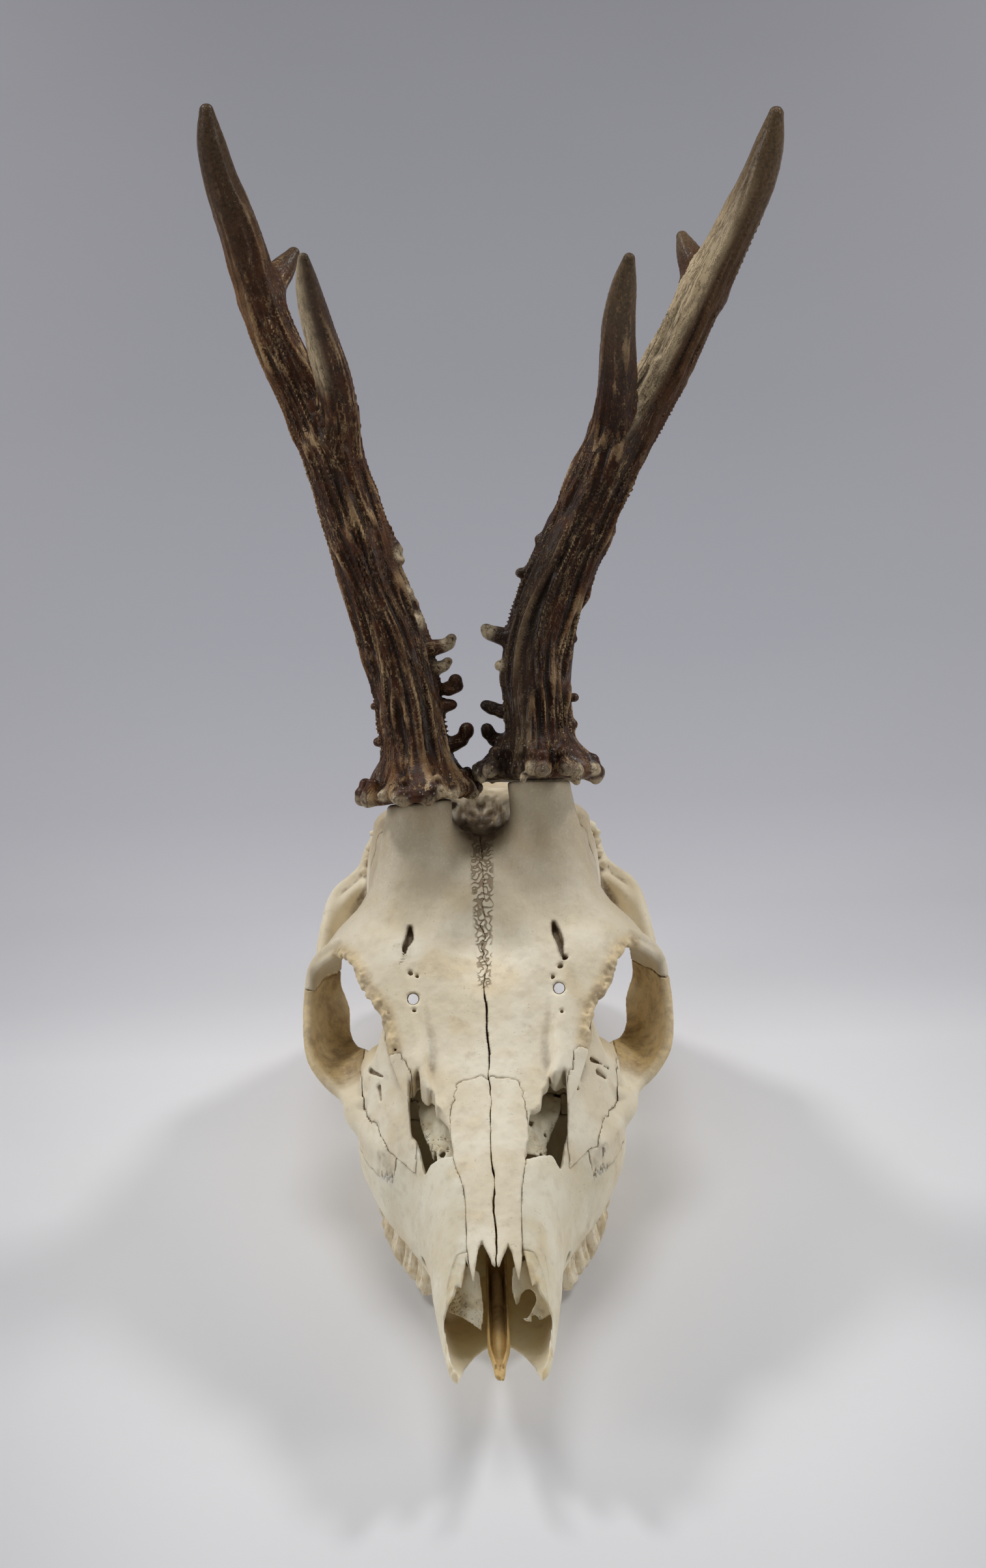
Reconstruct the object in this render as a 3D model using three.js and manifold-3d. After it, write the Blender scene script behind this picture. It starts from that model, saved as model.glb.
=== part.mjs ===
// Roe deer skull (Capreolus capreolus, adult buck), upper skull with both antlers, no lower jaw.
// Millimetres. The skull is drawn in its own frame, with the chewing plane at z = 0, the nose
// toward -Y and the neck toward +Y, so that the animal's left side is at +X. It is then laid down
// as it rests on a table: on its last molars and on the two jugular processes, nose a little up.
import * as THREE from 'three';
import { mergeVertices } from 'three/addons/utils/BufferGeometryUtils.js';
import Module from 'manifold-3d';

const wasm = await Module();
wasm.setup();

// ---------------------------------------------------------------- driving dimensions
const GAP = 0.3;                 // open seam between neighbouring bones
const REST_PITCH = 7;            // degrees, nose up, as the skull rests
const FLAT_DEPTH = 0.25;         // small worn flats where it touches the table
const CONTACT_Y = 12;            // rear edge of the last molar, the front contact

const NOSE_Y = -95;              // front tips of the premaxillae
const BACK_Y = 92;               // rear of the loft, before the condyles
const NASAL_WALL = 2;            // bone kept round the nasal cavity
const CAVITY_BACK_Y = -9;        // rear end of the nasal cavity
const APERTURE_Y = -72;          // roof of the nose ends here

const ORBIT_CENTRE = [41, 16.5, 50];
const ORBIT_RADII = [24, 20.5, 18.5];

const PEDICLE_RADIUS = 7.9;      // bony stalk below the coronet
const CORONET_RADIUS = 14.6;
const CORONET_HEIGHT = 10.5;
const TINE_TIP_RADIUS = 0.9;

const TOOTH_HEIGHT = 8.5;        // crown above the chewing plane
const TOOTH_ROOT = 4;            // part of the tooth sunk in the jaw

// Half cross-sections of skull and face, from nose to neck:
// y, roof z, shoulder x and z, side x and z, lower edge x and z, base z.
const SECTIONS = [
  [-95, 14.6, 6, 14.5, 9.5, 13.3, 7, 11.8, 11.4],
  [-90, 18.6, 8.3, 18, 11.9, 14.6, 9.5, 10.8, 10.5],
  [-82, 24.4, 9, 23.2, 12.9, 17, 11.5, 10.4, 9.8],
  [-74, 30.5, 9, 28, 13.6, 19, 12.5, 10, 9],
  [-60, 36.5, 9.5, 34, 15, 22, 13.5, 9.5, 9.6],
  [-46, 42.3, 11, 39.5, 16.8, 25, 15, 9.5, 11],
  [-34, 46.8, 13.5, 43, 21.5, 28, 21.5, 9.5, 12],
  [-22, 51, 17.5, 46.5, 28, 29, 26, 9.5, 12.6],
  [-10, 56, 21.5, 50.5, 32.3, 29, 28.5, 9.5, 13],
  [2, 62, 25.5, 57.5, 32, 31, 29, 10, 13.2],
  [14, 68.3, 29, 65, 27, 40, 20, 20, 14],
  [28, 75.3, 33, 66, 24, 45, 14, 24, 16],
  [40, 81, 30, 67, 25, 48, 14, 24, 18],
  [52, 84.5, 25, 78, 29, 60, 18, 24, 20],
  [66, 84.5, 24, 79, 29.4, 58, 22, 26, 21],
  [78, 79, 21.5, 74.5, 28.6, 52, 22, 27, 23],
  [88, 68, 16.5, 65, 23.5, 44, 18, 28, 25],
  [92, 60, 11, 57, 17.5, 43, 12, 30, 27],
];
const SECTION_STEPS = 26;        // rings along the skull
const SECTION_POINTS = 16;       // points round each ring, two to each control point

// Plan outlines (x, y) of the bones of the left side.
const NASAL_OUTLINE = [
  [0.15, -71], [2.8, -63.5], [5.5, -74.5], [6.9, -66], [6.6, -55], [9.6, -40], [9.8, -24],
  [8, -18.5], [0.15, -17.5],
];
const VACUITY_OUTLINE = [[10.2, -24], [14, -22], [18, -23], [18.2, -37], [12, -38.5], [9.9, -36]];
const LACRIMAL_OUTLINE = [
  [18.5, -21.5], [18.3, -37], [20, -38], [26, -30], [31.5, -9], [31.5, 8], [30.5, 20], [22, 20],
  [20, -3], [22, -9],
];
const FRONTAL_OUTLINE = [
  [0.15, -17], [8.4, -18], [10.3, -25], [14, -21.5], [18, -21], [21.7, -9], [19.5, -2], [22, 8.5],
  [50, 9], [50, 41], [31, 50], [16, 54], [0.15, 52],
];
const ZYGOMATIC_OUTLINE = [
  [21, -36.5], [24, -38], [36, -12], [50, -10], [50, 46], [30, 46], [30, 22], [29.5, 9],
  [30, -4], [25, -22],
];
// Side outlines (y, z).
const PREMAXILLA_SIDE = [[-100, 0], [-91, 0], [-87, 12], [-60, 34], [-63, 45], [-100, 45]];

// Cheek teeth of the left side: y of the crown centre, number of lobes, length, width.
const TEETH = [
  [-38.5, 1, 8, 6.4],
  [-29.8, 1, 8.2, 7.6],
  [-21.2, 1, 8, 8.6],
  [-11.6, 2, 10.2, 9.6],
  [-0.8, 2, 10.6, 10],
  [9.6, 2, 9.8, 9.4],
];
// Centre line of the tooth row: y and x.
const TOOTH_ROW = [[-44, 14], [-32, 18.3], [-22, 21.8], [-12, 23.8], [0, 24.8], [14, 24]];

// ---------------------------------------------------------------- geometry helpers
const vec = (p) => new THREE.Vector3(p[0], p[1], p[2]);

/** Closed surface through rings of equal point count, with a fan at each end. */
function loft(rings) {
  const n = rings[0].length;
  const positions = [];
  const index = [];
  rings.forEach((ring) => ring.forEach((p) => positions.push(p.x, p.y, p.z)));
  for (let i = 0; i + 1 < rings.length; i += 1) {
    for (let j = 0; j < n; j += 1) {
      const a = i * n + j;
      const b = i * n + (j + 1) % n;
      index.push(a, b, b + n, a, b + n, a + n);
    }
  }
  [[0, rings[0]], [rings.length - 1, rings[rings.length - 1]]].forEach(([row, ring]) => {
    const middle = new THREE.Vector3();
    ring.forEach((p) => middle.addScaledVector(p, 1 / n));
    const hub = positions.length / 3;
    positions.push(middle.x, middle.y, middle.z);
    for (let j = 0; j < n; j += 1) {
      const a = row * n + j;
      const b = row * n + (j + 1) % n;
      index.push(...(row === 0 ? [hub, b, a] : [hub, a, b]));
    }
  });
  const geometry = new THREE.BufferGeometry();
  geometry.setAttribute('position', new THREE.Float32BufferAttribute(positions, 3));
  geometry.setIndex(index);
  return geometry;
}

/** Signed volume, used to turn every surface outward. */
function signedVolume(points, index) {
  const a = new THREE.Vector3();
  const b = new THREE.Vector3();
  const c = new THREE.Vector3();
  let total = 0;
  for (let i = 0; i < index.length; i += 3) {
    a.fromArray(points, index[i] * 3);
    b.fromArray(points, index[i + 1] * 3);
    c.fromArray(points, index[i + 2] * 3);
    total += a.dot(b.cross(c)) / 6;
  }
  return total;
}

/** Boolean solid made from a closed three.js geometry. */
function solid(geometry) {
  const bare = geometry.clone();
  bare.deleteAttribute('normal');
  bare.deleteAttribute('uv');
  const merged = mergeVertices(bare, 1e-4);
  const points = Float32Array.from(merged.attributes.position.array);
  const index = Uint32Array.from(merged.index.array);
  if (signedVolume(points, index) < 0) {
    for (let i = 0; i < index.length; i += 3) {
      const first = index[i];
      index[i] = index[i + 1];
      index[i + 1] = first;
    }
  }
  return new wasm.Manifold(new wasm.Mesh({ numProp: 3, vertProperties: points, triVerts: index }));
}

/** The largest body of a boolean result. */
function largest(shape) {
  const bodies = shape.decompose();
  bodies.sort((a, b) => b.volume() - a.volume());
  return bodies[0];
}

/** three.js geometry of a boolean solid, faceted. */
function toGeometry(shape) {
  const result = shape.getMesh();
  const geometry = new THREE.BufferGeometry();
  const points = [];
  for (let i = 0; i < result.numVert; i += 1) {
    const k = i * result.numProp;
    points.push(result.vertProperties[k], result.vertProperties[k + 1], result.vertProperties[k + 2]);
  }
  geometry.setAttribute('position', new THREE.Float32BufferAttribute(points, 3));
  geometry.setIndex(Array.from(result.triVerts));
  return geometry;
}

/** Ellipsoid with the given centre and radii. */
function ellipsoid(centre, radii, around = 20, down = 12) {
  const geometry = new THREE.SphereGeometry(1, around, down);
  geometry.scale(radii[0], radii[1], radii[2]);
  geometry.translate(centre[0], centre[1], centre[2]);
  return solid(geometry);
}

/** Upright prism over a plan outline; side = -1 mirrors it to the right. */
function prism(outline, low, high, side = 1) {
  const shape = new THREE.Shape(outline.map(([x, y]) => new THREE.Vector2(x * side, y)));
  const geometry = new THREE.ExtrudeGeometry(shape, { depth: high - low, bevelEnabled: false });
  geometry.translate(0, 0, low);
  return solid(geometry);
}

/** Prism along X over a side outline (y, z), from x = near to x = far. */
function sidePrism(outline, near, far) {
  const shape = new THREE.Shape(outline.map(([y, z]) => new THREE.Vector2(y, z)));
  const geometry = new THREE.ExtrudeGeometry(shape, { depth: far - near, bevelEnabled: false });
  const turn = new THREE.Matrix4().makeBasis(
    new THREE.Vector3(0, 1, 0),
    new THREE.Vector3(0, 0, 1),
    new THREE.Vector3(1, 0, 0),
  );
  geometry.applyMatrix4(turn);
  geometry.translate(near, 0, 0);
  return solid(geometry);
}

/** Outline moved outward by a margin, with mitred corners. */
function grow(outline, margin) {
  const flat = outline.map(([x, y]) => new THREE.Vector2(x, y));
  const turn = THREE.ShapeUtils.area(flat) > 0 ? 1 : -1;
  return flat.map((point, i) => {
    const before = flat[(i + flat.length - 1) % flat.length];
    const after = flat[(i + 1) % flat.length];
    const one = point.clone().sub(before).normalize();
    const two = after.clone().sub(point).normalize();
    const normal = new THREE.Vector2(one.y + two.y, -one.x - two.x).normalize().multiplyScalar(turn);
    const lean = Math.max(0.35, normal.dot(new THREE.Vector2(one.y, -one.x).multiplyScalar(turn)));
    return [point.x + normal.x * margin / lean, point.y + normal.y * margin / lean];
  });
}

/** Values of a table (first column is the key) at any key, by smooth interpolation. */
function through(table) {
  const width = table[0].length - 1;
  const keys = table.map((row) => row[0]);
  const values = table.flatMap((row) => row.slice(1));
  const curve = new THREE.CubicInterpolant(keys, values, width);
  return (key) => Array.from(curve.evaluate(key));
}

/** Swept rod: stations of x, y, z, half width, half height, on a smooth curve. */
function rod(stations, steps, around = 10, up = [0, 0, 1]) {
  const curve = new THREE.CatmullRomCurve3(stations.map(vec), false, 'centripetal');
  const reference = vec(up);
  const rings = [];
  for (let i = 0; i <= steps; i += 1) {
    const t = i / steps;
    const place = curve.getPoint(t);
    const along = curve.getTangent(t);
    const across = new THREE.Vector3().crossVectors(along, reference).normalize();
    const above = new THREE.Vector3().crossVectors(across, along).normalize();
    const k = Math.min(stations.length - 2, Math.floor(t * (stations.length - 1)));
    const f = t * (stations.length - 1) - k;
    const wide = THREE.MathUtils.lerp(stations[k][3], stations[k + 1][3], f);
    const tall = THREE.MathUtils.lerp(stations[k][4], stations[k + 1][4], f);
    const ring = [];
    for (let j = 0; j < around; j += 1) {
      const angle = (j / around) * Math.PI * 2;
      const p = place.clone();
      p.addScaledVector(across, Math.cos(angle) * wide);
      p.addScaledVector(above, Math.sin(angle) * tall);
      ring.push(p);
    }
    rings.push(ring);
  }
  return solid(loft(rings));
}

const mirrored = (stations) => stations.map(([x, ...rest]) => [-x, ...rest]);
const both = (make, stations) => make(stations).add(make(mirrored(stations)));

// ---------------------------------------------------------------- skull body
const sectionAt = through(SECTIONS);

/** Ring of the skull at y, drawn in or out by an inset; open roofs are raised by lift. */
function ring(y, inset = 0, lift = 0) {
  const [roof, sx, sz, mx, mz, lx, lz, base] = sectionAt(y);
  const half = [
    [0, roof - inset + lift],
    [sx - inset * 0.8, sz - inset * 0.8 + lift],
    [mx - inset, mz + lift * 0.4],
    [lx - inset, lz + inset],
    [0, base + inset],
  ];
  const right = half.slice(1, 4).reverse().map(([x, z]) => [-x, z]);
  const points = [...half, ...right].map(([x, z]) => new THREE.Vector3(x, y, z));
  const curve = new THREE.CatmullRomCurve3(points, true, 'centripetal');
  return curve.getPoints(SECTION_POINTS).slice(0, SECTION_POINTS);
}

function skullBody() {
  const rings = [];
  for (let i = 0; i <= SECTION_STEPS; i += 1) {
    rings.push(ring(THREE.MathUtils.lerp(NOSE_Y, BACK_Y, i / SECTION_STEPS)));
  }
  return solid(loft(rings));
}

/** Nasal cavity: follows the walls, and runs out through the roof in front of the nasals. */
function nasalCavity(wall) {
  const stops = [-99, -93.5, -90, -84, -77, APERTURE_Y, -70, -62, -52, -42, -32, -22, -14, CAVITY_BACK_Y];
  const rings = stops.map((y) => {
    const lift = y <= APERTURE_Y ? 9 : 0;
    const inset = y > -15 ? wall * 4 : wall;
    const drawn = ring(Math.max(y, -94), inset, lift);
    drawn.forEach((p) => { p.y = y; });
    return drawn;
  });
  return solid(loft(rings));
}

const arch = (stations) => rod(stations, 12, 6);
let whole = skullBody();
whole = whole.subtract(nasalCavity(NASAL_WALL));

// Open palatine fissures, and the notch between the tips of the premaxillae.
const FISSURE = [
  [-9, -99], [9, -99], [8.5, -89], [7.4, -82], [5.5, -76.5], [2.9, -73],
  [-2.9, -73], [-5.5, -76.5], [-7.4, -82], [-8.5, -89],
];
whole = whole.subtract(prism(FISSURE, 5, 24));

// Orbits.
[1, -1].forEach((side) => {
  const [x, y, z] = ORBIT_CENTRE;
  whole = whole.subtract(ellipsoid([x * side, y, z], ORBIT_RADII, 18, 12));
});

// Choana behind the palate, with a thin pterygoid plate at each side.
whole = whole.subtract(ellipsoid([0, 27, 17], [6.2, 20, 9], 12, 8));
const pterygoid = [[6.8, 24, 20, 0.9, 8], [7.6, 34, 17, 0.8, 8], [8, 43, 21, 0.8, 5]];
whole = whole.add(both((s) => rod(s, 4, 6), pterygoid));

// Orbital ring: a thin band that narrows inward and backward from the rim. Stations of the
// rim, from the frontal down and forward round the eye, with the inner edge behind each.
const ORBIT_BAND = [
  [[36, 27, 64.5], [34, 27, 62]], [[40.5, 29.5, 59.5], [35.6, 31, 60]], [[43, 30, 55], [36.5, 35, 54]],
  [[44.2, 27, 49.5], [36.9, 37.5, 46]], [[44.6, 20.5, 44], [35.2, 35.5, 40.5]],
  [[43.8, 14.5, 39], [33.5, 29.5, 38]], [[41, 9.8, 36], [31.5, 22, 38.5]],
  [[36.5, 4.5, 34.2], [29, 14, 41]], [[33, -2, 35], [27, 7, 41]], [[29.5, -6, 39], [25.5, 1, 43]],
];
const BAND_THICKNESS = 2.4;
const BAND_STEPS = 16;

function orbitBand(side) {
  const place = ([x, y, z]) => new THREE.Vector3(x * side, y, z);
  const rim = new THREE.CatmullRomCurve3(ORBIT_BAND.map(([p]) => place(p)));
  const inner = new THREE.CatmullRomCurve3(ORBIT_BAND.map(([, p]) => place(p)));
  const rings = [];
  for (let i = 0; i <= BAND_STEPS; i += 1) {
    const t = i / BAND_STEPS;
    const front = rim.getPoint(t);
    const back = inner.getPoint(t);
    const depth = back.clone().sub(front);
    const face = new THREE.Vector3().crossVectors(depth, rim.getTangent(t)).normalize();
    const half = face.multiplyScalar(BAND_THICKNESS / 2);
    const thin = half.clone().multiplyScalar(0.6);
    rings.push([
      front.clone().add(half), front.clone().addScaledVector(depth, -0.12), front.clone().sub(half),
      back.clone().sub(thin), back.clone().add(thin),
    ]);
  }
  return solid(loft(rings));
}
whole = whole.add(orbitBand(1)).add(orbitBand(-1));

/** Curved plate of even thickness under an outline of (x, y, z) corners. */
function plate(corners, thickness, side) {
  const outline = corners.map(([x, y]) => new THREE.Vector2(x * side, y));
  const turn = THREE.ShapeUtils.area(outline) > 0 ? 1 : -1;
  const faces = THREE.ShapeUtils.triangulateShape(outline, []);
  const n = corners.length;
  const positions = [];
  [0, thickness].forEach((drop) => {
    corners.forEach(([x, y, z]) => positions.push(x * side, y, z - drop));
  });
  const index = [];
  const winding = (a, b, c) => (turn > 0 ? [a, b, c] : [a, c, b]);
  faces.forEach(([a, b, c]) => index.push(a, b, c, n + a, n + c, n + b));
  for (let i = 0; i < n; i += 1) {
    const j = (i + 1) % n;
    index.push(...winding(i, n + i, n + j), ...winding(i, n + j, j));
  }
  const geometry = new THREE.BufferGeometry();
  geometry.setAttribute('position', new THREE.Float32BufferAttribute(positions, 3));
  geometry.setIndex(index);
  return solid(geometry);
}

// Roof over the orbit and the postorbital process: the frontal runs out and down to the ring.
const ORBIT_ROOF = [
  [18, 45, 79], [28.4, 42, 68], [31.6, 40, 64.2], [35, 37.8, 61.5], [38.5, 35.3, 59],
  [41.5, 33, 56.5], [43.8, 30.5, 53.5], [42.4, 28.6, 57], [38.5, 26.5, 62.5], [35.8, 24, 65],
  [33.8, 17.5, 66.3], [30, 7.5, 63], [25.5, 0, 60], [23.6, -8, 55.2], [17, -8, 57], [17, 20, 72],
];
[1, -1].forEach((side) => { whole = whole.add(plate(ORBIT_ROOF, 2.6, side)); });

// Zygomatic arch, back to the root on the squamosal, with its flat shelf.
const archPath = [
  [41.2, 24, 38, 1.8, 3.2], [41, 36, 39.8, 1.6, 3.4], [40.6, 48, 42.3, 1.8, 3.2],
  [39.6, 58, 44.5, 2.2, 2.8], [36.6, 69, 48.2, 3, 2.6], [30, 74.5, 51, 4, 3], [24, 76, 52, 5, 3.4],
];
whole = whole.add(both(arch, archPath));
const SHELF = [
  [24, 58, 52], [25, 76, 58], [32, 76, 54], [37.2, 76, 51], [38.5, 71, 50.8], [40.4, 61, 48.8],
  [42, 52, 46.8], [39, 54, 45.5], [33, 62, 47],
];
[1, -1].forEach((side) => { whole = whole.add(plate(SHELF, 3, side)); });

// Ridge of the cheek, joining the face to the foot of the ring.
[1, -1].forEach((side) => {
  whole = whole.add(ellipsoid([33 * side, 1.5, 33], [3.2, 9, 3.6], 10, 6));
});

// Lacrimal bulla, hanging into the front of the orbit.
whole = whole.add(ellipsoid([25.5, 3, 40], [6.5, 10, 7.5], 12, 8));
whole = whole.add(ellipsoid([-25.5, 3, 40], [6.5, 10, 7.5], 12, 8));

// Base of the braincase: ear capsules, jugular processes, condyles and the foramen magnum.
[1, -1].forEach((side) => {
  whole = whole.add(ellipsoid([14.5 * side, 63, 20], [6.8, 9, 8], 10, 6));
  whole = whole.add(ellipsoid([11.5 * side, 91, 28], [7.5, 7, 9.5], 10, 8));
});
const jugular = [[22, 85, 34, 3.4, 5], [22.6, 83.5, 26, 2.6, 4.2], [22.2, 81.5, 16, 2, 3.4], [21, 79.6, 8, 1.6, 2.2]];
whole = whole.add(both((s) => rod(s, 6, 6, [0, 1, 0]), jugular));
const earTube = [[24, 68, 36, 4, 4], [29, 69, 39, 3.2, 3.2], [32, 70, 41, 2.6, 2.6]];
whole = whole.add(both((s) => rod(s, 3, 6), earTube));
whole = whole.subtract(ellipsoid([0, 95, 40], [8.6, 14, 9], 12, 8));
const crest = [
  [-29, 80, 50, 1.6, 3], [-28, 82, 60, 1.6, 3], [-20, 84.5, 70, 2, 3], [0, 85.5, 74, 2.4, 3.4],
  [20, 84.5, 70, 2, 3], [28, 82, 60, 1.6, 3], [29, 80, 50, 1.6, 3],
];
whole = whole.add(rod(crest, 12, 6, [0, 1, 0]));

// Pedicles, leaning back and a little inward.
const pedicle = [
  [18.6, 36, 66, 10, 10], [17.2, 42.5, 75, 9.4, 9.4], [15.8, 47.5, 84, 8.3, 8.3],
  [14.8, 51, 92, PEDICLE_RADIUS, PEDICLE_RADIUS], [14.6, 54.6, 100, PEDICLE_RADIUS, PEDICLE_RADIUS],
];
const pedicleRod = (margin) => (
  rod(pedicle.map(([x, y, z, w, h]) => [x, y, z, w + margin, h + margin]), 9, 12, [0, 1, 0])
);
const pedicleRight = (margin) => (
  rod(mirrored(pedicle).map(([x, y, z, w, h]) => [x, y, z, w + margin, h + margin]), 9, 12, [0, 1, 0])
);

// Lacrimal vacuities beside the nasals.
[1, -1].forEach((side) => { whole = whole.subtract(prism(VACUITY_OUTLINE, 34, 70, side)); });

// Foramina over the orbits.
[1, -1].forEach((side) => {
  const hole = new THREE.CylinderGeometry(1.3, 1.3, 30, 10);
  hole.rotateX(Math.PI / 2 - THREE.MathUtils.degToRad(28));
  hole.translate(18 * side, 4, 60);
  whole = whole.subtract(solid(hole));
});

// Cheek teeth.
const rowAt = through(TOOTH_ROW);

function crown(y, length, width) {
  const [x] = rowAt(y);
  const rows = [[0.2, 0.82], [1.6, 0.96], [TOOTH_HEIGHT, 1], [TOOTH_HEIGHT + TOOTH_ROOT, 0.8]];
  const rings = rows.map(([z, scale]) => {
    const points = [];
    for (let j = 0; j < 6; j += 1) {
      const angle = ((j + 0.5) / 6) * Math.PI * 2;
      const px = Math.cos(angle) * width * 0.5 * scale;
      const py = Math.sin(angle) * length * 0.54 * scale;
      points.push(new THREE.Vector3(x + px, y + py, z));
    }
    return points;
  });
  return solid(loft(rings));
}

function cheekTeeth() {
  let row = null;
  TEETH.forEach(([y, lobes, length, width]) => {
    for (let i = 0; i < lobes; i += 1) {
      const offset = (i - (lobes - 1) / 2) * (length / lobes);
      const lobe = crown(y + offset, length / lobes + 0.6, width);
      row = row === null ? lobe : row.add(lobe);
    }
  });
  return row;
}

// ---------------------------------------------------------------- parting into bones
const bones = {};
let rest = whole;

/** Take the part of the skull inside a region, and open a seam round it on both sides. */
function take(name, make, extra = null) {
  let piece = rest.intersect(make(0, 1));
  if (extra !== null) {
    piece = piece.add(extra);
  }
  bones[name] = largest(piece);
  rest = rest.subtract(make(GAP, 1)).subtract(make(GAP, -1));
}

const planRegion = (outline, low, high) => (margin, side) => (
  prism(grow(outline, margin), low - margin, high + margin, side)
);

take('nasal', planRegion(NASAL_OUTLINE, 26, 70));
take('lacrimal', planRegion(LACRIMAL_OUTLINE, 34.5, 60));
take('frontal', planRegion(FRONTAL_OUTLINE, 51.5, 110), pedicleRod(0));
rest = rest.subtract(pedicleRod(GAP)).subtract(pedicleRight(GAP));
take('zygomatic', planRegion(ZYGOMATIC_OUTLINE, 27, 51.2));
take('premaxilla', (margin, side) => {
  const outline = grow(PREMAXILLA_SIDE, margin);
  return side > 0 ? sidePrism(outline, 0.15, 30) : sidePrism(outline, -30, -0.15);
});
const MAXILLA_PLAN = [[0.15, -97], [40, -97], [40, 7.7], [31, 16.5], [17, 16.5], [14, 7.7], [0.15, 7.7]];
take('maxilla', planRegion(MAXILLA_PLAN, -5, 70), cheekTeeth());
const behindFace = sidePrism([[8, 0], [8, 110], [110, 110], [110, 0]], -60, 60);
bones.braincase = largest(rest.intersect(behindFace));

// ---------------------------------------------------------------- loose inner bones
/** Vomer with the two palatine processes: a trough on the midline of the nose floor. */
function vomer() {
  const stops = [
    [-88.5, 13, 1.6, 1.4], [-80, 12.8, 2.2, 2], [-74.5, 13.6, 2.3, 2.2], [-71, 14.8, 2.3, 2.6],
    [-58, 16, 2.2, 3], [-30, 20.4, 1.8, 4.6],
  ];
  const rings = stops.map(([y, z, wide, tall]) => {
    const outline = [
      [-wide, tall], [-wide, -tall * 0.4], [-wide * 0.5, -tall], [wide * 0.5, -tall],
      [wide, -tall * 0.4], [wide, tall], [wide * 0.55, tall], [0, tall * 0.1], [-wide * 0.55, tall],
    ];
    return outline.map(([x, dz]) => new THREE.Vector3(x, y, z + dz));
  });
  return solid(loft(rings));
}

/** Scroll-shaped turbinate on the side wall of the nose, as a rolled sheet. */
function turbinate() {
  const thickness = 0.9;
  const turns = 1.35;
  const outer = [];
  const inner = [];
  for (let i = 0; i <= 14; i += 1) {
    const t = i / 14;
    const angle = t * turns * Math.PI * 2;
    const radius = 3.9 - 2.1 * t;
    outer.push([Math.cos(angle) * radius, Math.sin(angle) * radius * 1.3]);
    inner.push([Math.cos(angle) * (radius - thickness), Math.sin(angle) * (radius - thickness) * 1.3]);
  }
  const outline = [...outer, ...inner.reverse()];
  const rows = [[-64, 0.75], [-52, 0.95], [-40, 1.15]];
  return rows.map(([y, scale]) => {
    const [, , , mx, mz] = sectionAt(y);
    const centre = mx - NASAL_WALL - 1 - 3.9 * scale;
    return outline.map(([x, z]) => (
      new THREE.Vector3(centre + x * scale, y, mz + 3 + z * scale)
    ));
  });
}

/** Shape swept between equal outlines in planes across Y, closed by triangulated ends. */
function sheet(rings) {
  const n = rings[0].length;
  const flat = rings[0].map((p) => new THREE.Vector2(p.x, p.z));
  const faces = THREE.ShapeUtils.triangulateShape(flat, []);
  const positions = rings.flatMap((row) => row.flatMap((p) => [p.x, p.y, p.z]));
  const index = [];
  for (let i = 0; i + 1 < rings.length; i += 1) {
    for (let j = 0; j < n; j += 1) {
      const a = i * n + j;
      const b = i * n + (j + 1) % n;
      index.push(a, b, b + n, a, b + n, a + n);
    }
  }
  const last = (rings.length - 1) * n;
  faces.forEach(([a, b, c]) => {
    index.push(a, c, b);
    index.push(last + a, last + b, last + c);
  });
  const geometry = new THREE.BufferGeometry();
  geometry.setAttribute('position', new THREE.Float32BufferAttribute(positions, 3));
  geometry.setIndex(index);
  return solid(geometry);
}

// ---------------------------------------------------------------- antlers
// Stations of x, y, z, radius. The right antler hangs a little lower than the left one.
const BEAM_LEFT = [
  [14.6, 51.6, 94.8, 9.4], [14.8, 58.5, 106.5, 8.8], [15.6, 67.5, 123, 8.2], [20.4, 75, 137, 7.5],
  [27.6, 82, 151, 7.3], [35, 88.6, 164, 7.4], [41.8, 93, 173, 6.3], [51.2, 99.8, 187, 5.8],
  [59.6, 105.8, 201.5, 5.6],
];
const TOP_LEFT = [
  [59.6, 105.8, 201.5, 5.6], [68, 110.2, 217, 5.1], [73.9, 112.1, 229, 4.5], [77, 113.1, 238.5, 3.6],
  [78.9, 114.1, 248, TINE_TIP_RADIUS],
];
const FRONT_LEFT = [
  [33, 88, 163, 5.6], [35.8, 89.8, 174, 5], [37.3, 89.4, 184, 4.7], [37.6, 87, 194, 4.4],
  [38.2, 84, 206, 4], [39.6, 81.8, 216, 3], [41.1, 79.6, 225, TINE_TIP_RADIUS],
];
const REAR_LEFT = [
  [59.5, 106.5, 203, 4.6], [58.3, 112, 205.2, 4], [56.6, 118.5, 207.8, 3], [55.2, 124, 210.4, TINE_TIP_RADIUS],
];
const BEAM_RIGHT = [
  [-15.1, 51, 90.4, 9.4], [-16.4, 59, 106, 8.6], [-19.3, 68.3, 124, 7.8], [-24.5, 75.7, 138.6, 7.3],
  [-29.5, 83.4, 154, 7.4], [-34.3, 90.3, 168, 7], [-39.6, 96.3, 180, 6.1], [-47, 103.4, 195.5, 5.6],
  [-51.4, 108, 208.5, 5.4],
];
const TOP_RIGHT = [
  [-51.4, 108, 208.5, 5.4], [-54.9, 111, 221.4, 5], [-58.6, 112.5, 233.5, 4.4], [-60.9, 113.8, 245, 3.4],
  [-61.4, 114.8, 253.5, TINE_TIP_RADIUS],
];
const FRONT_RIGHT = [
  [-32, 89, 168, 5.4], [-31.3, 89.9, 179, 4.8], [-32.4, 88.5, 189, 4.5], [-34.3, 85.9, 199, 4.3],
  [-37, 82.6, 213, 3.6], [-38, 80.2, 221.5, 2.6], [-38.3, 78.6, 228.4, TINE_TIP_RADIUS],
];
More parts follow.
